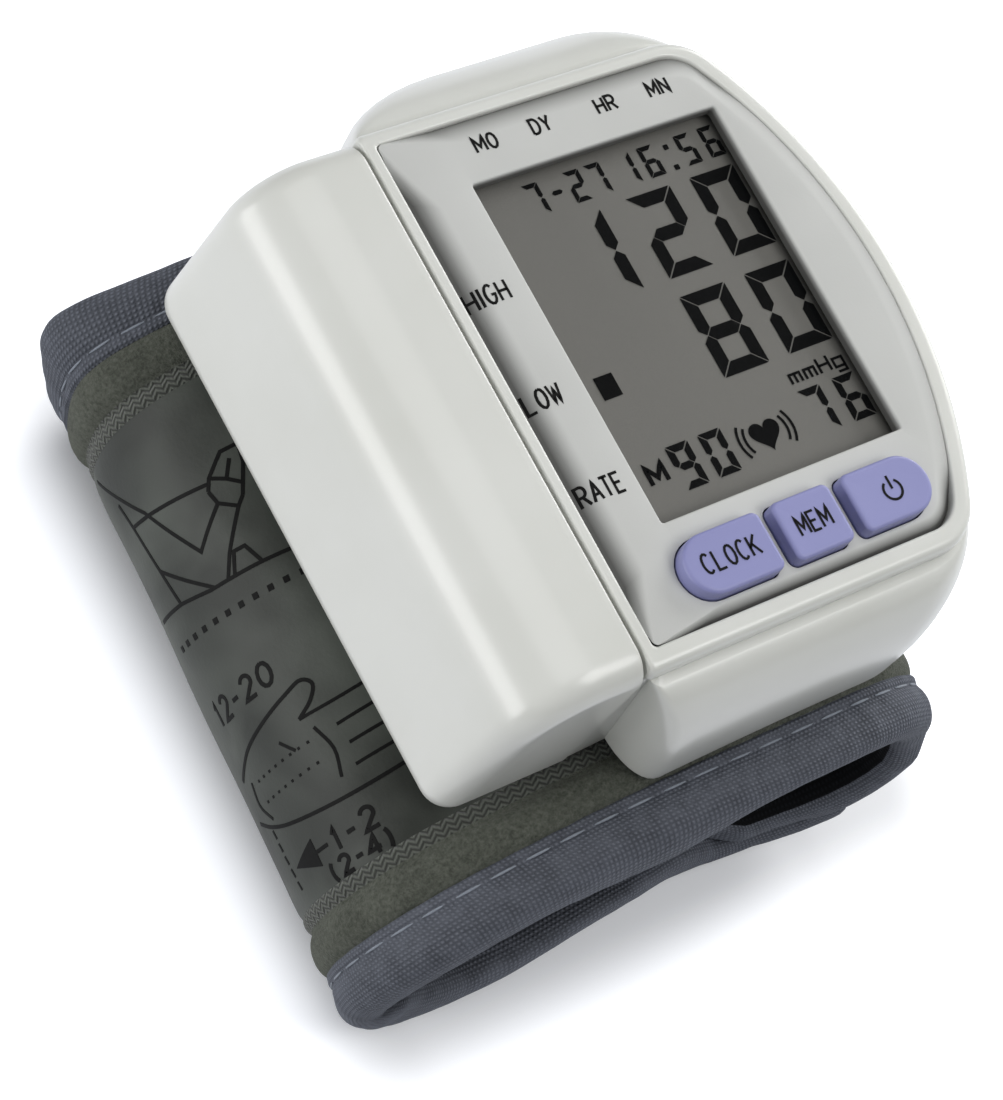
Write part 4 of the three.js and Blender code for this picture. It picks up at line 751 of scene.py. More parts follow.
print("parts of the digits:", len(figures))


# %% Strips along lines, and plain stroke letters
def stroke_line(points, width):
    """Polygon of a line with a width, mitred at its corners."""
    points = np.asarray(points, float)
    ahead = np.diff(points, axis=0)
    ahead /= np.linalg.norm(ahead, axis=1)[:, None]
    before = np.vstack([ahead[:1], ahead])
    after = np.vstack([ahead, ahead[-1:]])
    middle = before + after
    middle /= np.linalg.norm(middle, axis=1)[:, None]
    side = np.stack([-middle[:, 1], middle[:, 0]], 1)
    reach = width / 2 / np.clip((middle * before).sum(1), 0.5, 1)
    left, right = points + side * reach[:, None], points - side * reach[:, None]
    return [tuple(p) for p in left] + [tuple(p) for p in right[::-1]]


def finely(points, step=1.0):
    """A polyline with points at most a step apart."""
    points = np.asarray(points, float)
    found = [points[0]]
    for a, b in zip(points, points[1:]):
        count = max(1, int(math.ceil(np.linalg.norm(b - a) / step)))
        found += [a + (b - a) * (i + 1) / count for i in range(count)]
    return np.array(found)


def ribbon(line, width, place, rise):
    """A closed strip along a flat line. place takes a flat point and a rise and gives a layout point."""
    outline = stroke_line(line, width)
    half = len(outline) // 2
    rings = [[place(*a, 0), place(*a, rise), place(*b, rise), place(*b, 0)]
             for a, b in zip(outline[:half], outline[half:][::-1])]
    return skin(rings, caps=(True, True))


def bow(x, y, across, along, start, end):
    """Arc of a letter, in degrees."""
    return arc(x, y, across, along, math.radians(start), math.radians(end), 12).tolist()


LETTERS = {
    "A": [[(0, 0), (0.5, 1), (1, 0)], [(0.18, 0.33), (0.82, 0.33)]],
    "C": [bow(0.5, 0.5, 0.5, 0.5, 48, 312)],
    "D": [[(0, 0), (0, 1)] + bow(0.42, 0.5, 0.58, 0.5, 85, -85) + [(0, 0)]],
    "E": [[(0.95, 1), (0, 1), (0, 0), (0.95, 0)], [(0, 0.52), (0.8, 0.52)]],
    "G": [bow(0.5, 0.5, 0.5, 0.5, 48, 350) + [(1, 0.46), (0.58, 0.46)]],
    "H": [[(0, 0), (0, 1)], [(0, 0.5), (1, 0.5)], [(1, 0), (1, 1)]],
    "I": [[(0.5, 0), (0.5, 1)]],
    "K": [[(0, 0), (0, 1)], [(0.95, 1), (0, 0.4)], [(0.32, 0.6), (1, 0)]],
    "L": [[(0, 1), (0, 0), (0.9, 0)]],
    "M": [[(0, 0), (0, 1), (0.5, 0.3), (1, 1), (1, 0)]],
    "N": [[(0, 0), (0, 1), (1, 0), (1, 1)]],
    "O": [bow(0.5, 0.5, 0.5, 0.5, 90, 450)],
    "R": [[(0, 0), (0, 1)] + bow(0.5, 0.74, 0.45, 0.26, 85, -85) + [(0, 0.48)], [(0.5, 0.48), (1, 0)]],
    "T": [[(0, 1), (1, 1)], [(0.5, 1), (0.5, 0)]],
    "W": [[(0, 1), (0.25, 0), (0.5, 0.8), (0.75, 0), (1, 1)]],
    "Y": [[(0, 1), (0.5, 0.45), (1, 1)], [(0.5, 0.45), (0.5, 0)]],
    "m": [[(0, 0), (0, 0.62), (0.5, 0.62), (0.5, 0)], [(0.5, 0.62), (1, 0.62), (1, 0)]],
    "g": [[(0.9, 0.62), (0, 0.62), (0, 0.04), (0.9, 0.04)], [(0.9, 0.7), (0.9, -0.28), (0.05, -0.28)]],
    "0": [bow(0.5, 0.5, 0.46, 0.5, 90, 450)], "1": [[(0.2, 0.76), (0.55, 1), (0.55, 0)]],
    "2": [bow(0.5, 0.7, 0.42, 0.3, 165, -28) + [(0.05, 0), (0.95, 0)]],
    "4": [[(0.72, 0), (0.72, 1), (0.02, 0.3), (1, 0.3)]],
    "-": [[(0.1, 0.45), (0.9, 0.45)]],
    "(": [bow(1, 0.45, 0.8, 0.65, 125, 235)], ")": [bow(0, 0.45, 0.8, 0.65, 55, -55)],
}
WIDTHS = {"I": 0.1, "M": 1.25, "W": 1.35, "(": 0.5, ")": 0.5, "-": 0.7, "1": 0.6}


def word(letters, left, low, width, height, stroke, place, rise=0.03, space=0.45):
    """Ribbons of a word in stroke letters, fitted to a width."""
    widths = [WIDTHS.get(letter, 1.0) for letter in letters]
    unit = width / (sum(widths) + space * (len(letters) - 1))
    found = []
    for letter, wide in zip(letters, widths):
        for line in LETTERS[letter]:
            fitted = [(left + unit * wide * a, low + height * b) for a, b in line]
            found.append(ribbon(finely(fitted, 0.4), stroke, place, rise))
        left += unit * (wide + space)
    return found


print("letters drawn:", "".join(LETTERS))


# %% Heart, unit and memory marks
turn = np.linspace(0, 2 * math.pi, 40, endpoint=False)
heart = np.stack([16 * np.sin(turn) ** 3,
                  13 * np.cos(turn) - 5 * np.cos(2 * turn) - 2 * np.cos(3 * turn) - np.cos(4 * turn)], 1)
figures.append([tuple(p) for p in heart * 0.118 + (2.2, -14.7)])
bend = np.linspace(-0.55, 0.55, 9)
for side in (-1, 1):
    for reach in (2.7, 3.45):
        beat = [(2.2 + side * reach * math.cos(b), -14.8 + reach * math.sin(b)) for b in bend]
        figures.append(stroke_line(beat, 0.28))
FIGURE_Z, FIGURE_RISE = -2.36, 0.04


def on_display(x, y, rise):
    return x, y, FIGURE_Z + rise


units = word("mmHg", 8.3, -10.9, 7.2, 1.7, 0.28, on_display, FIGURE_RISE)
units += word("M", -12.9, -15.5, 2.0, 2.0, 0.5, on_display, FIGURE_RISE)
slabs("display_figures", figures, FIGURE_Z, FIGURE_RISE, digit_ink, "unit", units)

# %% [markdown]
# ## Lettering
# Only generic function words and the power symbol are printed. Text objects could give the letters, but their meshes
# are fans of long thin triangles that don't bend, so the letters here are strokes: each is a few lines in a unit
# box, made ribbons that follow the surface below them. The words at the left so run down into the scoop.

# %% Words on the panel and the buttons
print_ink, tree, shader = finish_named("print_ink", "#101010", 0.6, Specular_IOR_Level=0.1)
tinted(tree, shader, noise(tree, 1400.0), "#090909", "#171716")


CAP_TOP = 1.86


def on_panel(x, y, rise):
    return x, y, 0.004 - float(panel_drop(x, y)) + rise


def on_button(x, y, rise):
    return x, y, CAP_TOP + rise


def printed(name, words, stroke, place, body):
    strips = [strip for row in words for strip in word(*row, stroke, place)]
    lettering = make_piece(name, *merged(*strips), print_ink)
    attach(lettering, body)


panel_words = [
    ("MO", -13.2, 23.1, 2.7, 1.7), ("DY", -6.0, 23.1, 2.3, 1.7),
    ("HR", 2.4, 23.1, 2.4, 1.7), ("MN", 9.2, 23.1, 2.6, 1.7),
    ("HIGH", -22.9, 7.3, 4.7, 2.1), ("LOW", -22.7, -4.7, 4.0, 2.1), ("RATE", -22.5, -15.5, 5.0, 2.1),
]
printed("panel_lettering", panel_words, 0.3, on_panel, "unit")
printed("time_mark", [("CLOCK", -15.2, -27.0, 6.9, 2.1)], 0.27, on_button, "time_key")
printed("memory_mark", [("MEM", -3.1, -27.0, 4.1, 2.1)], 0.27, on_button, "memory_key")
power_ring = arc(9.4, -26.1, 1.1, 1.1, math.radians(125), math.radians(415), 29)
slabs("power_mark", [stroke_line(power_ring, 0.28), stroke_line([(9.4, -26), (9.4, -24.5)], 0.28)],
      CAP_TOP, 0.03, print_ink, "power_key")
print("words:", [row[0] for row in panel_words])

# %% [markdown]
# ## The cuff's path
# The cuff is a flat padded band that runs from the tab's end under the wrist side, round the right, under the
# case, round the left and back below as the flap. Its outer face follows lines and arcs, and each layer lies at a
# depth below that face. One function gives the point and the inward direction at a distance along the band, and
# another bends the band as soft cloth does, so that all the layers stay together.

# %% Path, skew and softness
TOP_RADIUS, TAB_BOTTOM, CUFF_BOTTOM, CUFF_THICK = 132.6, -56.5, -62.0, 5.3
LEFT_RADIUS, RIGHT_RADIUS = 17.6542, 17.8446
ARC_MIDDLE = np.array([SADDLE_X, SADDLE_Z - SADDLE_RADIUS])


def turn_of(radius, bottom):
    return math.acos((bottom + radius - ARC_MIDDLE[1]) / (TOP_RADIUS - radius))


LEFT_TURN, RIGHT_TURN = turn_of(LEFT_RADIUS, CUFF_BOTTOM), turn_of(RIGHT_RADIUS, TAB_BOTTOM)
LEFT_MIDDLE = np.array([SADDLE_X - (TOP_RADIUS - LEFT_RADIUS) * math.sin(LEFT_TURN), CUFF_BOTTOM + LEFT_RADIUS])
RIGHT_MIDDLE = np.array([SADDLE_X + (TOP_RADIUS - RIGHT_RADIUS) * math.sin(RIGHT_TURN), TAB_BOTTOM + RIGHT_RADIUS])
HINGE, FLAP_WRAP = math.radians(225), math.radians(48)
ROUTE = [
    ("line", (RIGHT_MIDDLE[0] - 18, TAB_BOTTOM), (RIGHT_MIDDLE[0], TAB_BOTTOM)),
    ("arc", RIGHT_MIDDLE, RIGHT_RADIUS, -QUARTER, QUARTER - RIGHT_TURN),
    ("arc", ARC_MIDDLE, TOP_RADIUS, QUARTER - RIGHT_TURN, QUARTER + LEFT_TURN),
    ("arc", LEFT_MIDDLE, LEFT_RADIUS, QUARTER + LEFT_TURN, 3 * QUARTER),
    ("line", (LEFT_MIDDLE[0], CUFF_BOTTOM), (RIGHT_MIDDLE[0], CUFF_BOTTOM)),
    ("arc", RIGHT_MIDDLE, RIGHT_RADIUS + CUFF_THICK + 0.2, -QUARTER, -QUARTER + FLAP_WRAP),
]


def length_of(part):
    if part[0] == "line":
        return math.dist(part[1], part[2])
    return part[2] * abs(part[4] - part[3])


STARTS = np.concatenate([[0], np.cumsum([length_of(part) for part in ROUTE])])
SPLIT = STARTS[3] + LEFT_RADIUS * (math.radians(212) - QUARTER - LEFT_TURN)
ROUTE_END = STARTS[-1]


def on_route(distance):
    """Point in XZ and inward direction at a distance along the outer face."""
    index = min(int(np.searchsorted(STARTS, distance, side="right")) - 1, len(ROUTE) - 1)
    part = ROUTE[max(index, 0)]
    share = (distance - STARTS[index]) / length_of(part)
    if part[0] == "line":
        return np.asarray(part[1]) + (np.asarray(part[2]) - part[1]) * share, np.array([0.0, 1.0])
    angle = part[3] + (part[4] - part[3]) * share
    out = np.array([math.cos(angle), math.sin(angle)])
    return part[1] + part[2] * out, -out


CUFF_FRONT, CUFF_MIDDLE, CUFF_REAR, SKEW = -45.8, -6.2, 33.4, 0.042
PINCH_X, TABLE = -11.0, -61.97
# How far the front end lies back below, and sags above, by place along X.
LOWER_BACK = np.array([
    (-48, -0.4), (-42, -1.2), (-30, -1.0), (-24, -1.0), (-18, -0.7), (-10, -0.3), (-5, 0.2), (0, 0.9),
    (7, 1.2), (14, 0.9), (20, -0.2), (27, -1.3), (34, -2.0), (42, -1.2),
])
UPPER_SAG = np.array([(-46, 2.0), (-38, 2.5), (-29, 2.5), (-21, 3.6), (-14, 4.3), (-9, 2.8), (-4, 0.8), (1, 0)])


def soft_move(x, y, z, distance, depth):
    """Where cloth at a place of the stiff band really lies: askew, wavy at its ends and pressed flat at the front."""
    near = math.exp(-max(y - CUFF_FRONT, 0) / 8)
    far = math.exp(-max(CUFF_REAR - y, 0) / 9)
    low = smooth_step((-46 - z) / 8)
    pinch = math.exp(-((x - PINCH_X) / 10) ** 2)
    sag = (1 - low) * near * np.interp(x, *UPPER_SAG.T) * depth / CUFF_THICK
    pressed = smooth_step((x + 50) / 8) * smooth_step((9 - x) / 8)
    tucked = smooth_step((20 - distance) / 5)
    lift = low * near * (1.2 * smooth_step((x + 46) / 12) * smooth_step((-4 - x) / 12) + 4.5 * pinch
                         + 4.9 * pressed * depth / CUFF_THICK) - sag
    back = low * near * (np.interp(x, *LOWER_BACK.T) + 1.8 * tucked) - 0.34 * sag
    back -= 1.2 * near * smooth_step((x - 16) / 8) * smooth_step((z + 54.5) / 4) * smooth_step((-33 - z) / 6)
    corner = math.exp(-max(CUFF_REAR - y, 0) / 6) * math.exp(-((x + 45) ** 2 + (z + 37) ** 2) / 60)
    wave = 0.2 * (near + far) * math.sin(distance / 6.1 + 0.8) + 0.1 * near * math.sin(distance / 2.9)
    fold = 0.12 * near * math.sin(distance / 1.7 + 2 * math.sin(distance / 5.1)) * max(0.0, 1 - depth / 3)
    return (
        x + SKEW * (y - CUFF_MIDDLE) - 5.0 * corner,
        y + back + 0.25 * near * math.sin(distance / 7.3) + 1.0 * corner,
        max(z + lift + wave * (1 - 0.6 * low) + fold + 2.1 * corner, TABLE),
    )


def cuff_point(distance, y, depth):
    point, inward = on_route(distance)
    x, z = point + inward * depth
    return soft_move(x, y, z, distance, depth)


def distances(start, end, step=1.1):
    """Even distances along the route, with more of them at the band's free ends."""
    found = list(np.linspace(start, end, max(2, int(math.ceil((end - start) / step)) + 1)))
    if start < 2:
        found += [start + 0.12, start + 0.35, start + 0.7]
    if end > ROUTE_END - 2:
        found += [end - 0.12, end - 0.35, end - 0.7]
    return np.array(sorted(found))


print("route length:", round(float(ROUTE_END), 1), "mm, flap from", round(float(SPLIT), 1))

# %% [markdown]
# ## Cloth finishes
# Four cloths meet on the cuff: brushed felt, a woven edge tape, a knitted stripe with a zigzag and a coated,
# printed sheet. Weave and knit follow the band, so these materials read the skin's own map in metres, and the felt
# reads Object coordinates, because its nap has no direction. Each has its own relief and mottling.

# %% Felt, tape, knit, lining and label materials
def waves(tree, value, per_metre):
    """Sine of a coordinate, from 0 to 1."""
    turned = math_of(tree, "MULTIPLY_ADD", value, 2 * math.pi * per_metre, 0.0)
    return math_of(tree, "MULTIPLY_ADD", math_of(tree, "SINE", turned), 0.5, 0.5)


def cloth_map(tree):
    """Places along and around a skin, in metres, from its own map."""
    parts = add(tree, "SeparateXYZ", {"Vector": add(tree, "TexCoord").outputs["UV"]})
    return parts.outputs["X"], parts.outputs["Y"]


felt, tree, shader = finish_named("brushed_felt", "#4b4e48", 0.95, Sheen_Weight=0.35, Sheen_Roughness=0.6)
shader.inputs["Sheen Tint"].default_value = paint("#8d9186")
nap = noise(tree, 2100.0, 4.0, Roughness=0.75)
mixed = plus(tree, times(tree, nap, 0.8), times(tree, noise(tree, 260.0, 3.0), 0.2))
tinted(tree, shader, ranged(tree, mixed, 0.38, 0.64), "#34372f", "#5d6057")
bumped(tree, shader, nap, 0.9, 0.0004)

tape, tree, shader = finish_named("woven_tape", "#4b4e55", 0.8, Sheen_Weight=0.2, Sheen_Roughness=0.5)
shader.inputs["Sheen Tint"].default_value = paint("#8a93a6")
along, across = cloth_map(tree)
weft = waves(tree, plus(tree, along, times(tree, across, 0.3)), 1 / 0.00055)
weave = times(tree, weft, waves(tree, across, 1 / 0.00048))
dust, creases = noise(tree, 700.0, 3.0), noise(tree, 130.0, 2.0, Distortion=0.8)
mixed = plus(tree, plus(tree, times(tree, weave, 0.6), times(tree, dust, 0.5)), times(tree, creases, 0.5))
tinted(tree, shader, ranged(tree, mixed, 0.3, 0.98), "#30333a", "#666a74")
bumped(tree, shader, plus(tree, weave, times(tree, creases, 2.0)), 0.7, 0.0003)

knit, tree, shader = finish_named("zigzag_knit", "#45483f", 0.9, Sheen_Weight=0.25, Sheen_Roughness=0.6)
along, across = cloth_map(tree)
saw = math_of(tree, "PINGPONG", along, 0.00075)
ridges = waves(tree, plus(tree, across, times(tree, saw, 0.75)), 1 / 0.00062)
stitches = waves(tree, along, 1 / 0.00038)
loops = plus(tree, times(tree, ridges, 0.8), times(tree, times(tree, ridges, stitches), 0.2))
tinted(tree, shader, ranged(tree, loops, 0.15, 0.85), "#23261f", "#565a52")
bumped(tree, shader, loops, 0.7, 0.0003)

lining, tree, shader = finish_named("dark_lining", "#0b0c0f", 0.9, Specular_IOR_Level=0.15)
along, across = cloth_map(tree)
threads = times(tree, waves(tree, along, 1 / 0.0007), waves(tree, across, 1 / 0.0007))
tinted(tree, shader, threads, "#07080a", "#121418")
bumped(tree, shader, threads, 0.5, 0.00015)

vinyl, tree, shader = finish_named("coated_cloth", "#43463f", 0.55, Specular_IOR_Level=0.35)
slow = noise(tree, 75.0, 2.0, Distortion=0.4)
tinted(tree, shader, ranged(tree, slow, 0.34, 0.68), "#262924", "#4c504a")
bumped(tree, shader, plus(tree, times(tree, slow, 3.0), times(tree, noise(tree, 1900.0), 0.2)), 0.35, 0.0004)
print("cloths:", [m.name for m in (felt, tape, knit, lining, vinyl)])

# %% [markdown]
# ## The padded band
# The band's section shows what its makers sewed: a raised felt roll next to each edge tape, a narrow knitted
# stripe in a dip beside it, and a flat middle on which the printed sheet lies. The inside is a dark lining. The
# section is drawn once as depth against the distance from an edge, then swept along the route, because a voxel
# remesh, as used for thick cushions, would erase a band that is only five millimetres thick.

# %% Section of the band and a sweep along the route
OUTSIDE = np.array([
    (0.7, 1.5), (1.2, 0.85), (5.3, 0.75), (6.0, 0.6), (6.4, 0.2), (7.0, -0.15), (8.0, -0.35), (9.2, -0.28),
    (10.1, 0.05), (10.6, 0.5), (10.85, 0.85), (11.1, 0.6), (11.6, 0.3), (12.3, 0.28), (12.8, 0.5), (13.1, 0.85),
    (14.5, 0.78),
])
INSIDE = np.array([(0.7, 3.8), (1.2, 4.45), (5.5, 4.6), (6.4, 4.85), (9.0, 5.1), (14.0, 5.2)])


def depth_line(table, step=0.32):
    """Edge distance and depth in even steps, with the corners of the table rounded a little."""
    edge = np.arange(table[0, 0], table[-1, 0] + step / 2, step)
    depth = np.interp(edge, table[:, 0], table[:, 1])
    soft = depth.copy()
    soft[1:-1] = (depth[:-2] + 2 * depth[1:-1] + depth[2:]) / 4
    return np.column_stack([edge, soft])


def band_section():
    """Closed section as Y and depth, front edge first on the outside, then back on the inside."""
    near, back = depth_line(OUTSIDE), depth_line(INSIDE, 0.9)
    middle = np.linspace(CUFF_FRONT + OUTSIDE[-1, 0] + 1, CUFF_REAR - OUTSIDE[-1, 0] - 1, 34)
    inner = np.linspace(CUFF_FRONT + INSIDE[-1, 0] + 1, CUFF_REAR - INSIDE[-1, 0] - 1, 30)
    out = [(CUFF_FRONT + e, d) for e, d in near] + [(y, OUTSIDE[-1, 1]) for y in middle]
    out += [(CUFF_REAR - e, d) for e, d in near[::-1]]
    into = [(CUFF_REAR - e, d) for e, d in back] + [(y, INSIDE[-1, 1]) for y in inner[::-1]]
    into += [(CUFF_FRONT + e, d) for e, d in back[::-1]]
    return np.array(out + into), len(out)


def thinned(distance, reach=2.4):
    """Share of the thickness near the band's two free ends, which are sewn down to a soft round."""
    t = min(max(min(distance, ROUTE_END - distance) / reach, 0.06), 1.0)
    return math.sqrt(1 - (1 - t) ** 2)


def swept(name, section, stops, material, ripple=None):
    """A closed piece: a section of Y and depth carried along the route, with its map in metres."""
    count, half_thick = len(section), CUFF_THICK / 2
    around = np.concatenate([[0], np.cumsum(np.linalg.norm(np.diff(section, axis=0, append=section[:1]), axis=1))])
    rings = []
    for distance in stops:
        extra = ripple(distance) if ripple else np.zeros(count)
        kept = thinned(distance)
        narrow = 1 - 0.05 * (1 - kept)
        rings.append([
            cuff_point(distance, CUFF_MIDDLE + (y - CUFF_MIDDLE) * narrow, half_thick + (depth + d - half_thick) * kept)
            for (y, depth), d in zip(section, extra)
        ])
    points, faces = skin(rings, caps=(True, True))
    maps = []
    for face in faces[:-2]:
        low, high = face[0] // count, face[2] // count
        first, second = face[0] % count, face[0] % count + 1
        u_low, u_high = MM * stops[low], MM * stops[high]
        v_low, v_high = MM * around[first], MM * around[second]
        maps.append([(u_low, v_low), (u_low, v_high), (u_high, v_high), (u_high, v_low)])
    for face, distance in ((faces[-2], stops[0]), (faces[-1], stops[-1])):
        maps.append([(MM * section[i % count, 0], MM * section[i % count, 1]) for i in face])
    return make_piece(name, points, faces, material, maps, sharp=50)


section, outside_count = band_section()
ROLL_FROM_EDGE, ROLL_WIDTH, PAD_FROM_EDGE = 8.2, 1.9, 6
ridge = np.array([
    math.exp(-((min(y - CUFF_FRONT, CUFF_REAR - y) - ROLL_FROM_EDGE) / ROLL_WIDTH) ** 2) if i < outside_count else 0
    for i, y in enumerate(section[:, 0])
])
pad_width = CUFF_REAR - CUFF_FRONT - 2 * PAD_FROM_EDGE
padding = np.array([
    0 if i < outside_count else math.sin(math.pi * np.clip((y - CUFF_FRONT - PAD_FROM_EDGE) / pad_width, 0, 1))
    for i, y in enumerate(section[:, 0])
])


def felt_ripple(distance):
    """Slow swells of the felt rolls and of the pad on the inside."""
    roll = 0.1 * math.sin(distance / 3.7) + 0.07 * math.sin(distance / 1.9 + 2)
    return ridge * roll - padding * (0.25 + 0.2 * math.sin(distance / 4.6))


cuff_band = swept("cuff_band", section, distances(0.6, SPLIT), felt, felt_ripple)
flap_band = swept("flap_band", section, distances(SPLIT, ROUTE_END - 0.6), felt, felt_ripple)
print("band section points:", len(section))


# %% Cloth for each part of the band
def assign_cloths(band):
    """Felt, knit, vinyl ground and lining by where each face lies on the section."""
    for material in (knit, vinyl, lining):
        band.data.materials.append(material)
    last = len(section) - 1
    order = {"felt": 0, "knit": 1, "ground": 2, "lining": 3}
    uv = band.data.uv_layers["cloth"].data
    around = np.cumsum(np.linalg.norm(np.diff(section, axis=0), axis=1))
    for polygon in band.data.polygons:
        if len(polygon.vertices) > 4:
            polygon.material_index = order["felt"]
            continue
        v = np.mean([uv[i].uv[1] for i in polygon.loop_indices]) / MM
        index = int(np.searchsorted(around, v))
        if index >= outside_count - 1:
            polygon.material_index = order["lining"]
            continue
        y = section[min(index, last), 0]
        edge = min(y - CUFF_FRONT, CUFF_REAR - y)
        polygon.material_index = order["felt"] if edge < 10.75 else order["knit"] if edge < 12.9 else order["ground"]


for band in (cuff_band, flap_band):
    assign_cloths(band)
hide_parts("cuff_outer_fabric", "cuff_inner_fabric", "cuff_stiffener", "air_bladder")
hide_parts("flap_fabric")
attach(cuff_band, "unit")


def bends_with_flap(cloth_piece):
    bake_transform(cloth_piece)


bends_with_flap(flap_band)

# %% [markdown]
# ## Edge tape
# A woven tape is folded over each edge of the band and sewn down, which makes a fat, soft roll. Its section is a
# U with a thickness, dented a little where the stitches pull it in. It sweeps along the same route as the band.

# %% Tape section and the four tapes
TAPE_OUT = [(6.3, 0.62), (6.2, 0.2), (5.8, -0.05), (5.3, 0.05), (4.95, 0.22), (4.6, 0.05), (4.0, -0.18), (3.0, -0.3),
            (2.0, -0.15), (1.1, 0.25), (0.4, 0.95), (0.05, 1.9), (0.0, 2.8), (0.1, 3.7), (0.5, 4.6), (1.2, 5.15),
            (2.2, 5.4), (3.6, 5.45), (5.2, 5.35), (6.1, 5.2), (6.3, 4.9)]
TAPE_IN = [(5.8, 4.72), (4.0, 4.65), (2.0, 4.6), (1.1, 4.2), (0.75, 3.4), (0.7, 2.5), (0.85, 1.6), (1.3, 1.0),
           (2.2, 0.8), (4.0, 0.72), (5.8, 0.7)]


def tape_section(at_rear):
    section = np.array(TAPE_OUT + TAPE_IN)
    for _ in range(2):
        after = np.roll(section, -1, 0)
        section = np.stack([0.75 * section + 0.25 * after, 0.25 * section + 0.75 * after], 1).reshape(-1, 2)
    y = CUFF_REAR - section[:, 0] if at_rear else CUFF_FRONT + section[:, 0]
    return np.column_stack([y, section[:, 1]])


def tape_ripple(count):
    """Slight swelling of the tape between the stitches."""
    def ripple(distance):
        return np.full(count, 0.05 * math.sin(distance * 2 * math.pi / 4.3) + 0.06 * math.sin(distance / 5.3))
    return ripple


def painted_shade_inside(band, shape):
    """The tape's inner turn takes the dark lining as painted shade, except where the flap is pressed to the band above.
    """
    band.data.materials.append(lining)
    around = np.concatenate([[0], np.cumsum(np.linalg.norm(np.diff(shape, axis=0), axis=1))])
    uv = band.data.uv_layers["cloth"].data
    for polygon in band.data.polygons:
        if len(polygon.vertices) == 4:
            v = np.mean([uv[i].uv[1] for i in polygon.loop_indices]) / MM
            distance = np.mean([uv[i].uv[0] for i in polygon.loop_indices]) / MM
            y, depth = shape[min(int(np.searchsorted(around, v)), len(shape) - 1)]
            closed_up = distance > SPLIT and on_route(distance)[0][0] < 11
            if depth > 4.3 and min(y - CUFF_FRONT, CUFF_REAR - y) > 1.4 and not closed_up:
                polygon.material_index = 1


tapes = {}
for end, at_rear in (("front", False), ("rear", True)):
    shape = tape_section(at_rear)
    for part, start, stop in (("cuff", 0.0, SPLIT), ("flap", SPLIT, ROUTE_END)):
        made = swept(f"{part}_tape_{end}", shape, distances(start, stop, 0.9), tape, tape_ripple(len(shape)))
        painted_shade_inside(made, shape)
        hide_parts(f"{part}_binding_{end}")
        if part == "cuff":
            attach(made, "unit")
        else:
            bends_with_flap(made)
        tapes[made.name] = made
print("tapes:", sorted(tapes))

# %% [markdown]
# ## Stitches
# A lockstitch row holds each tape: short threads of one length in one line, with small gaps where the needle went
# down. Repeats like this are what Geometry Nodes are for. The tree puts points along a polyline at a pitch, sets a
# thread on each point along the line, and gives pitch, length and radius as inputs.

# %% Tree for a row of stitches
thread, tree, shader = finish_named("stitch_thread", "#7e8590", 0.7, Sheen_Weight=0.2)
fuzz = noise(tree, 2400.0)
tinted(tree, shader, fuzz, "#6b727d", "#939aa5")
bumped(tree, shader, fuzz, 0.4, 0.0001)


def stitch_tree():
    tree = bpy.data.node_groups.new("stitch_row", "GeometryNodeTree")
    for name, kind, default in (("Line", "NodeSocketGeometry", None), ("Pitch", "NodeSocketFloat", 0.004),
                                ("Length", "NodeSocketFloat", 0.003), ("Radius", "NodeSocketFloat", 0.00014),
                                ("Thread", "NodeSocketMaterial", None)):
        socket = tree.interface.new_socket(name, in_out="INPUT", socket_type=kind)
        if default is not None:
            socket.default_value = default
    tree.interface.new_socket("Stitches", in_out="OUTPUT", socket_type="NodeSocketGeometry")
    nodes = {key: tree.nodes.new(kind) for key, kind in {
        "given": "NodeGroupInput", "result": "NodeGroupOutput", "curve": "GeometryNodeMeshToCurve",
        "spaced": "GeometryNodeResampleCurve", "tangent": "GeometryNodeInputTangent",
        "turned": "FunctionNodeAlignRotationToVector", "ball": "GeometryNodeMeshUVSphere",
        "shaped": "GeometryNodeTransform", "size": "ShaderNodeCombineXYZ", "halved": "ShaderNodeMath",
        "set_on": "GeometryNodeInstanceOnPoints", "real": "GeometryNodeRealizeInstances",
        "dressed": "GeometryNodeSetMaterial", "smooth": "GeometryNodeSetShadeSmooth",
    }.items()}
    nodes["spaced"].mode, nodes["turned"].axis, nodes["halved"].operation = "LENGTH", "Z", "MULTIPLY"
    for key, socket, value in (
        ("halved", 1, 0.5), ("ball", "Segments", 8), ("ball", "Rings", 7), ("ball", "Radius", 1.0),
    ):
        nodes[key].inputs[socket].default_value = value
    for source, output, target, socket in (
        ("given", "Line", "curve", "Mesh"), ("curve", "Curve", "spaced", "Curve"),
        ("given", "Pitch", "spaced", "Length"), ("tangent", "Tangent", "turned", "Vector"),
        ("given", "Length", "halved", 0), ("given", "Radius", "size", "X"),
        ("given", "Radius", "size", "Y"), ("halved", 0, "size", "Z"), ("ball", "Mesh", "shaped", "Geometry"),
        ("size", "Vector", "shaped", "Scale"), ("spaced", "Curve", "set_on", "Points"),
        ("shaped", "Geometry", "set_on", "Instance"), ("turned", "Rotation", "set_on", "Rotation"),
        ("set_on", "Instances", "real", "Geometry"), ("real", "Geometry", "smooth", "Geometry"),
        ("smooth", "Geometry", "dressed", "Geometry"), ("given", "Thread", "dressed", "Material"),
        ("dressed", "Geometry", "result", "Stitches"),
    ):
        tree.links.new(nodes[source].outputs[output], nodes[target].inputs[socket])
    return tree


row_of_stitches = stitch_tree()


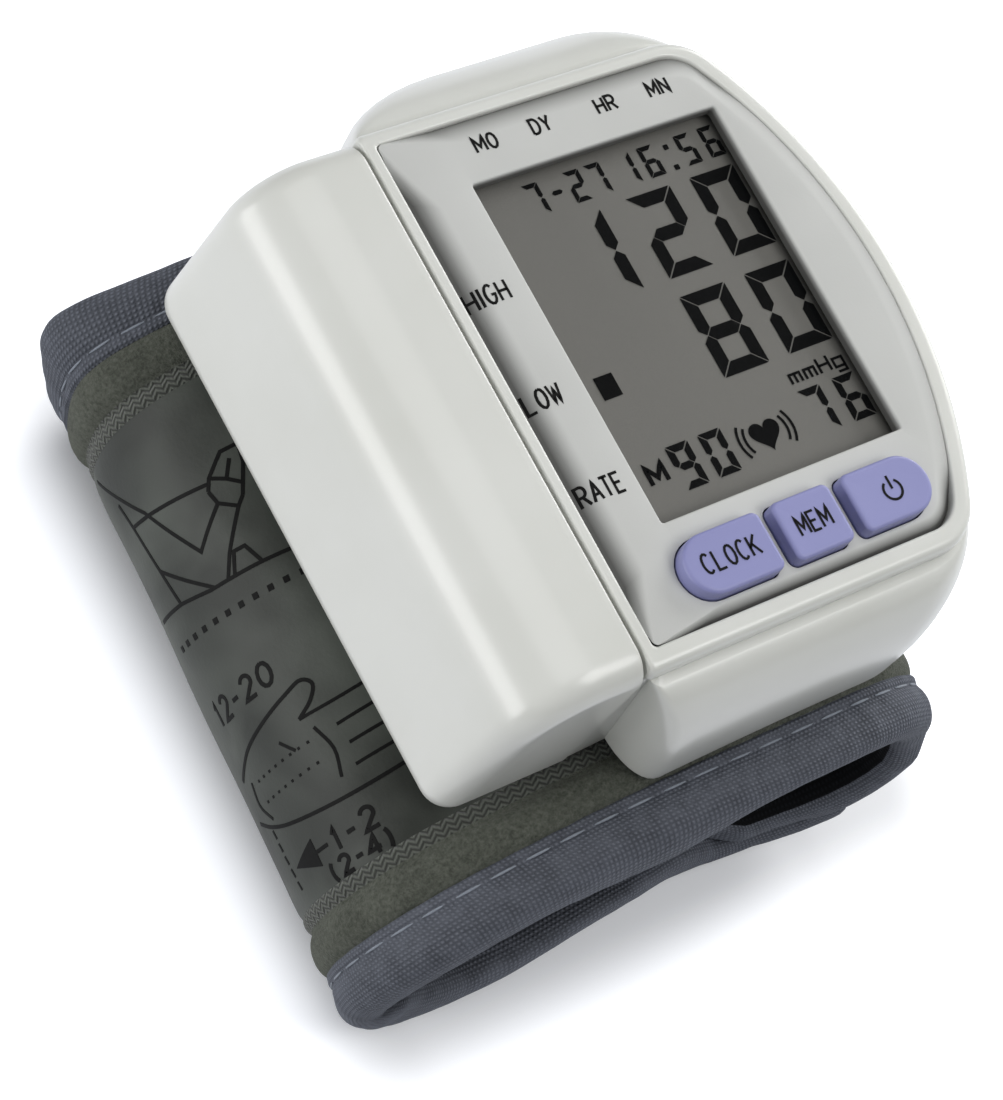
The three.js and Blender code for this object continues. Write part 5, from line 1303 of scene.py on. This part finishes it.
def stitched(name, line):
    """A plain mesh of stitches along a line of layout points."""
    mesh = bpy.data.meshes.new(name + "_line")
    mesh.from_pydata(placed(line).tolist(), [(i, i + 1) for i in range(len(line) - 1)], [])
    holder = in_scene(name + "_line", mesh)
    modifier = holder.modifiers.new("stitches", "NODES")
    modifier.node_group = row_of_stitches
    for item in row_of_stitches.interface.items_tree:
        if item.in_out == "INPUT" and item.name == "Thread":
            modifier[item.identifier] = thread
    bpy.context.view_layer.update()
    flat = bpy.data.meshes.new_from_object(holder.evaluated_get(bpy.context.evaluated_depsgraph_get()))
    bpy.data.objects.remove(holder)
    flat.name = name
    return in_scene(name, flat)


SEAM_FROM_EDGE, SEAM_DEPTH = 4.95, 0.14
for end, at_rear in (("front", False), ("rear", True)):
    y = CUFF_REAR - SEAM_FROM_EDGE if at_rear else CUFF_FRONT + SEAM_FROM_EDGE
    for part, start, stop in (("cuff", 3.6, SPLIT - 0.5), ("flap", SPLIT + 1.0, ROUTE_END - 3.6)):
        line = [cuff_point(d, y, SEAM_DEPTH) for d in distances(start, stop, 0.7)]
        row = stitched(f"{part}_stitches_{end}", line)
        if part == "cuff":
            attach(row, "unit")
        else:
            bends_with_flap(row)
print("stitch rows: 4")

# %% [markdown]
# ## Printed sheet
# A smooth coated sheet with a how-to-wear drawing covers the middle of the cuff and runs under the case. It is a
# thin skin a little above the band with gentle swells, and its drawing is a plain new one: an arm with a band, a
# dotted line, an arrow and two numbers. Thin strips that follow the sheet make the lines.

# %% Sheet and its drawing
LABEL_START = STARTS[2] + TOP_RADIUS * (QUARTER - math.asin((-21.0 - SADDLE_X) / TOP_RADIUS) - (QUARTER - RIGHT_TURN))
LABEL_END, LABEL_FROM_EDGE, LABEL_THICK = SPLIT - 0.6, 12.6, 0.28
LABEL_FRONT, LABEL_REAR = CUFF_FRONT + LABEL_FROM_EDGE, CUFF_REAR - LABEL_FROM_EDGE


def sheet_depth(distance, y):
    """Depth of the sheet's face, with its swells and its edges pressed down."""
    edge = min(y - LABEL_FRONT, LABEL_REAR - y)
    swell = 0.16 * math.sin(distance / 5.2 + y / 9) * math.sin(y / 7.5 + 1) + 0.08 * math.sin(distance / 2.4 - y / 5)
    return 0.22 + 0.28 * math.exp(-edge / 0.7) - swell * min(1, edge / 5)


rows = distances(LABEL_START, LABEL_END, 0.8)
places = np.linspace(LABEL_FRONT, LABEL_REAR, 68)
sheet_rings = []
for distance in rows:
    front = [cuff_point(distance, y, sheet_depth(distance, y)) for y in places]
    back = [cuff_point(distance, y, sheet_depth(distance, y) + LABEL_THICK) for y in places[::-1]]
    sheet_rings.append(front + back)
label_sheet = make_piece("label_sheet", *skin(sheet_rings, caps=(True, True)), vinyl, sharp=60)
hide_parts("instruction_label")
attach(label_sheet, "unit")
print("sheet:", round(float(LABEL_END - LABEL_START), 1), "by", round(LABEL_REAR - LABEL_FRONT, 1), "mm")


def on_sheet(beyond, y, rise):
    """A place on the sheet, a distance beyond its edge under the case."""
    distance = LABEL_START + beyond
    return cuff_point(distance, y, sheet_depth(distance, y) - 0.05 * (rise > 0) + 0.03 * (rise == 0))


def drawn(line, width=0.42):
    return ribbon(line, width, on_sheet, 1)


def curve_through(points, count=8):
    """A smooth line through points."""
    points = np.asarray(points, float)
    padded_line = np.vstack([2 * points[0] - points[1], points, 2 * points[-1] - points[-2]])
    found = []
    for i in range(1, len(padded_line) - 2):
        a, b, c, d = padded_line[i - 1:i + 3]
        square, cube = 2 * a - 5 * b + 4 * c - d, 3 * b - a - 3 * c + d
        for t in np.linspace(0, 1, count, endpoint=False):
            found.append(0.5 * (2 * b + (c - a) * t + square * t ** 2 + cube * t ** 3))
    return np.array(found + [points[-1]])


# %% [markdown]
# The drawing is laid out on the sheet as distance from its hidden edge and place along the cuff. It shows, in plain
# outlines that no one would take for a mark, an arm bent on a table with a band round its wrist, a dotted rule, a
# hand laid flat, and an arrow from a dashed line. The numbers are plain ones.

# %% Arm, hand, rules, arrow and numbers
arm = [
    [(40, 19.3), (32.5, 11.8), (27.5, 4.3), (23.2, 7.6)], [(26, 0.2), (24.5, 2.4), (21.3, 6.2)],
    [(36, 11.8), (32, 11.3), (23, 9.9)], [(37, 15), (36, 11.8), (34.5, 5.8), (33.5, 1.3)],
    [(34.5, 5.8), (31, 2.8), (28, 0.3)],
    [(23.6, 9.2), (23.2, 7.6), (21.3, 6.2), (20.4, 7.0)], [(22.9, 10.4), (21.2, 9.4), (19.8, 8.2)],
    [(23.6, 9.2), (22.9, 10.4), (20.6, 12.3), (18.5, 12.2), (18.8, 10.2), (20.4, 7.0)], [(21.2, 9.4), (20.0, 11.2)],
    [(40, 1.9), (33.5, 1.3), (28.5, 0.3), (22, -0.2), (12, -1.2)], [(25.2, -0.1), (24, 2.3), (22.6, 2.2), (21.6, -0.2)],
]
hand = [(38.8, -17.8), (36.5, -16.7), (34, -15.7), (30, -14.7), (26, -13.7), (23.6, -13.2), (22.5, -14.2),
        (23.5, -15.6), (25.5, -16.7)]
palm = [(39.2, -22.6), (36, -24.1), (32, -25.2), (25.5, -26.1), (19, -26.2), (12, -25.6)]
fingers = [
    [(25.5, -16.7), (20, -16.8), (12, -16.4)], [(24.4, -18.2), (23.4, -21.2), (24, -24.2)],
    [(22, -19.2), (12, -18.8)], [(21.6, -21.5), (12, -21.2)], [(22, -23.8), (12, -23.5)],
    [(36.6, -18.7), (37, -21.2), (35.4, -23.4)], [(29, -17.5), (27.5, -19.2)],
]
drawing = [drawn(finely(line)) for line in arm] + [drawn(curve_through(line)) for line in (hand, palm)]
drawing += [drawn(curve_through(line, 4), 0.36) for line in fingers]
drawing += [drawn([(38 - 1.95 * i, -2.2 - 0.11 * i), (37.3 - 1.95 * i, -2.24 - 0.11 * i)], 0.7) for i in range(13)]
for bend in (-19.2, -21.6):
    drawing += [drawn([(35 - 1.3 * i, bend), (34.7 - 1.3 * i, bend)], 0.3) for i in range(8)]
drawing += [drawn([(36.6, -24.3 - 1.5 * i), (36.5, -25.3 - 1.5 * i)], 0.34) for i in range(5)]
tip = [[
    on_sheet(35.3 - 4.2 * t, -29.2 + side * (0.03 + 1.55 * t), rise)
    for side, rise in ((-1, 0), (-1, 1), (1, 1), (1, 0))
] for t in np.linspace(0, 1, 7)]
drawing += [skin(tip, caps=(True, True)), drawn(finely([(31.4, -29.2), (29.2, -29.2)]))]


def reads_inward(start):
    """Words on the sheet read towards the case."""
    return lambda x, y, rise: on_sheet(start - x, y, rise)


for letters, start, low, wide, tall in (
    ("12-20", 37.6, -11.8, 11.5, 2.5), ("1-2", 28.4, -30.4, 6.0, 2.3), ("(2-4)", 30.4, -32.9, 8.5, 1.9),
):
    drawing += word(letters, 0, low, wide, tall, 0.46, reads_inward(start), 1)
label_drawing = make_piece("label_drawing", *merged(*drawing), print_ink, sharp=60)
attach(label_drawing, "unit")
print("strips in the drawing:", len(drawing))

# %% [markdown]
# ## Finishes of the frame's own nodes
# What the cover and the seams hide keeps its CAD shape and gets its finish here: the printed board, the switches,
# the air parts, the cells with a plain wrap, and nickel-plated contacts and screws. Each is a procedural material,
# because the cover slides off and shows the cells and contacts.

# %% Board, metal, cells and fasteners
board_green, tree, shader = finish_named("board_green", "#1f5a36", 0.45)
tracks = add(tree, "TexBrick", {"Vector": object_place(tree), "Scale": 260.0, "Mortar Size": 0.02})
tinted(tree, shader, tracks.outputs["Fac"], "#1c5331", "#2d7549")
nickel, tree, shader = finish_named("nickel_plate", "#b6b8bc", 0.28, Metallic=0.9)
tree.links.new(ranged(tree, noise(tree, 900.0, 3.0), to_low=0.2, to_high=0.38), shader.inputs["Roughness"])
cell_wrap, tree, shader = finish_named("cell_wrap", "#2d343e", 0.3, Coat_Weight=0.3)
along = add(tree, "SeparateXYZ", {"Vector": object_place(tree)}).outputs["Y"]
tinted(tree, shader, math_of(tree, "GREATER_THAN", along, 0.012), "#2a3039", "#8f7a4e")
hooks, tree, shader = finish_named("hook_tape", "#1d2024", 0.8)
loops = add(tree, "TexVoronoi", {"Vector": object_place(tree), "Scale": 900.0}).outputs["Distance"]
tinted(tree, shader, loops, "#15171a", "#34383e")
bumped(tree, shader, loops, 0.8, 0.0003)

BY_SLOT = {
    "white_plastic": white_plastic, "silver_panel": silver_paint, "lilac_plastic": lilac_plastic,
    "black_plastic": black_plastic, "board_green": board_green, "plain_steel": nickel, "nylon": clear_nylon,
    "soft_hose": hose_rubber, "cell_wrap": cell_wrap, "hook_tape": hooks, "grey_felt": felt,
    "slate_tape": tape, "dark_lining": lining, "translucent_sheet": clear_nylon, "printed_vinyl": vinyl,
}
for row in frame["record"]["subparts"]:
    if row["material_slot"] in BY_SLOT:
        dress(frame["nodes"][row["node"]], BY_SLOT[row["material_slot"]])

# %% [markdown]
# ## Floor, light and camera
# The floor is a wide pale plane. For rays from the camera it adds a little of its own light, so the ground reads white
# and still keeps the soft shadow; close to the case that added light fades out, which paints a shadow round it. A long
# lamp at the left draws the highlight on the cover, one high in front lights the step below the rim, two soft ones open
# the shadows, and their sum is a plain level at which a colour renders about as written.

# %% Floor and world
floor_finish = bpy.data.materials.new("pale_floor")
floor_finish.use_nodes = True
tree = floor_finish.node_tree
tree.nodes.clear()
seen = add(tree, "LightPath")
shown = plus(tree, seen.outputs["Is Camera Ray"], seen.outputs["Is Glossy Ray"])
shown = plus(tree, shown, seen.outputs["Is Transmission Ray"])
ground_colour = blended(tree, seen.outputs["Is Camera Ray"], paint("#c9cbd0", 0.75), paint("#f0f1f3"))
matte = add(tree, "BsdfDiffuse", {"Color": ground_colour})
away = object_place(tree)
for operation, other in (
    ("SUBTRACT", (0.008, -0.004, -0.058)), ("ABSOLUTE", None),
    ("SUBTRACT", (0.034, 0.036, 0.1)), ("MAXIMUM", (0.0, 0.0, 0.0)),
):
    given = {0: away} if other is None else {0: away, 1: other}
    away = add(tree, "VectorMath", given, operation=operation).outputs[0]
reach = add(tree, "VectorMath", {0: away}, operation="LENGTH").outputs["Value"]
# Painted shadow: the floor's own light fades out within about 14 mm of a box round the case, so the ground is darker
# close to it.
clear = ranged(tree, reach, 0.002, 0.014, 0.07, 0.78, interpolation_type="SMOOTHSTEP")
strength = times(tree, math_of(tree, "MINIMUM", shown, 1.0), clear)
glow = add(tree, "Emission", {"Color": (0.93, 0.95, 1.0, 1.0), "Strength": strength})
both = add(tree, "AddShader", {0: matte.outputs[0], 1: glow.outputs[0]})
add(tree, "OutputMaterial", {"Surface": both.outputs[0]})
FLOOR_HALF, FLOOR_Z = 3000, -62.02
floor = make_piece("floor", [
    (FLOOR_HALF * x, FLOOR_HALF * y, FLOOR_Z) for x, y in ((-1, -1), (1, -1), (1, 1), (-1, 1))
], [(0, 1, 2, 3)], floor_finish)

world = bpy.data.worlds.new("studio")
bpy.context.scene.world = world
world.use_nodes = True
tree = world.node_tree
tree.nodes.clear()
seen = add(tree, "LightPath")
shown = plus(tree, seen.outputs["Is Camera Ray"], seen.outputs["Is Transmission Ray"])
ground = add(tree, "Background", {"Color": (0.95, 0.97, 1.0, 1.0), "Strength": 0.15})
plain = add(tree, "Background", {"Color": (1.0, 1.0, 1.0, 1.0), "Strength": 1.0})
either = add(tree, "MixShader", {0: math_of(tree, "MINIMUM", shown, 1.0), 1: ground.outputs[0], 2: plain.outputs[0]})
add(tree, "OutputWorld", {"Surface": either.outputs[0]})


# %% Lamps and camera
def lamp(name, place_mm, target_mm, width, length, power):
    """A soft rectangular lamp that looks at a place of the layout."""
    data = bpy.data.lights.new(name, "AREA")
    data.shape, data.size, data.size_y, data.energy = "RECTANGLE", width, length, power
    made = in_scene(name, data)
    here, there = Vector(placed([place_mm])[0]), Vector(placed([target_mm])[0])
    made.location = here
    made.rotation_euler = (there - here).to_track_quat("-Z", "Y").to_euler()
    return made


lamp("side_left", (-457, 95, 20), (-30, 0, -15), 0.55, 0.2, 1.6)
lamp("side_right", (420, 150, 150), (20, 0, -10), 0.3, 0.3, 1.3)
lamp("front_high", (180, -240, 450), (0, -20, -15), 0.3, 0.3, 1.35)
lamp("top_soft", (-40, 130, 540), (0, 0, -20), 0.5, 0.5, 1.1)

camera = in_scene("camera", bpy.data.cameras.new("camera"))
camera.data.lens, camera.data.sensor_width, camera.data.sensor_fit = 114.5, 36.0, "AUTO"
right, up, back = Vector((0.806, -0.470, 0.359)), Vector((0.316, 0.856, 0.409)), Vector((-0.500, -0.216, 0.839))
turned = Matrix((right, up, back)).transposed().to_4x4()
camera.matrix_world = Matrix.Translation(Vector(placed([(-201.6, -89.3, 282.4)])[0])) @ turned
camera.data.clip_start, camera.data.clip_end = 0.01, 20.0
bpy.context.scene.camera = camera
bpy.context.scene.view_settings.view_transform = "Standard"
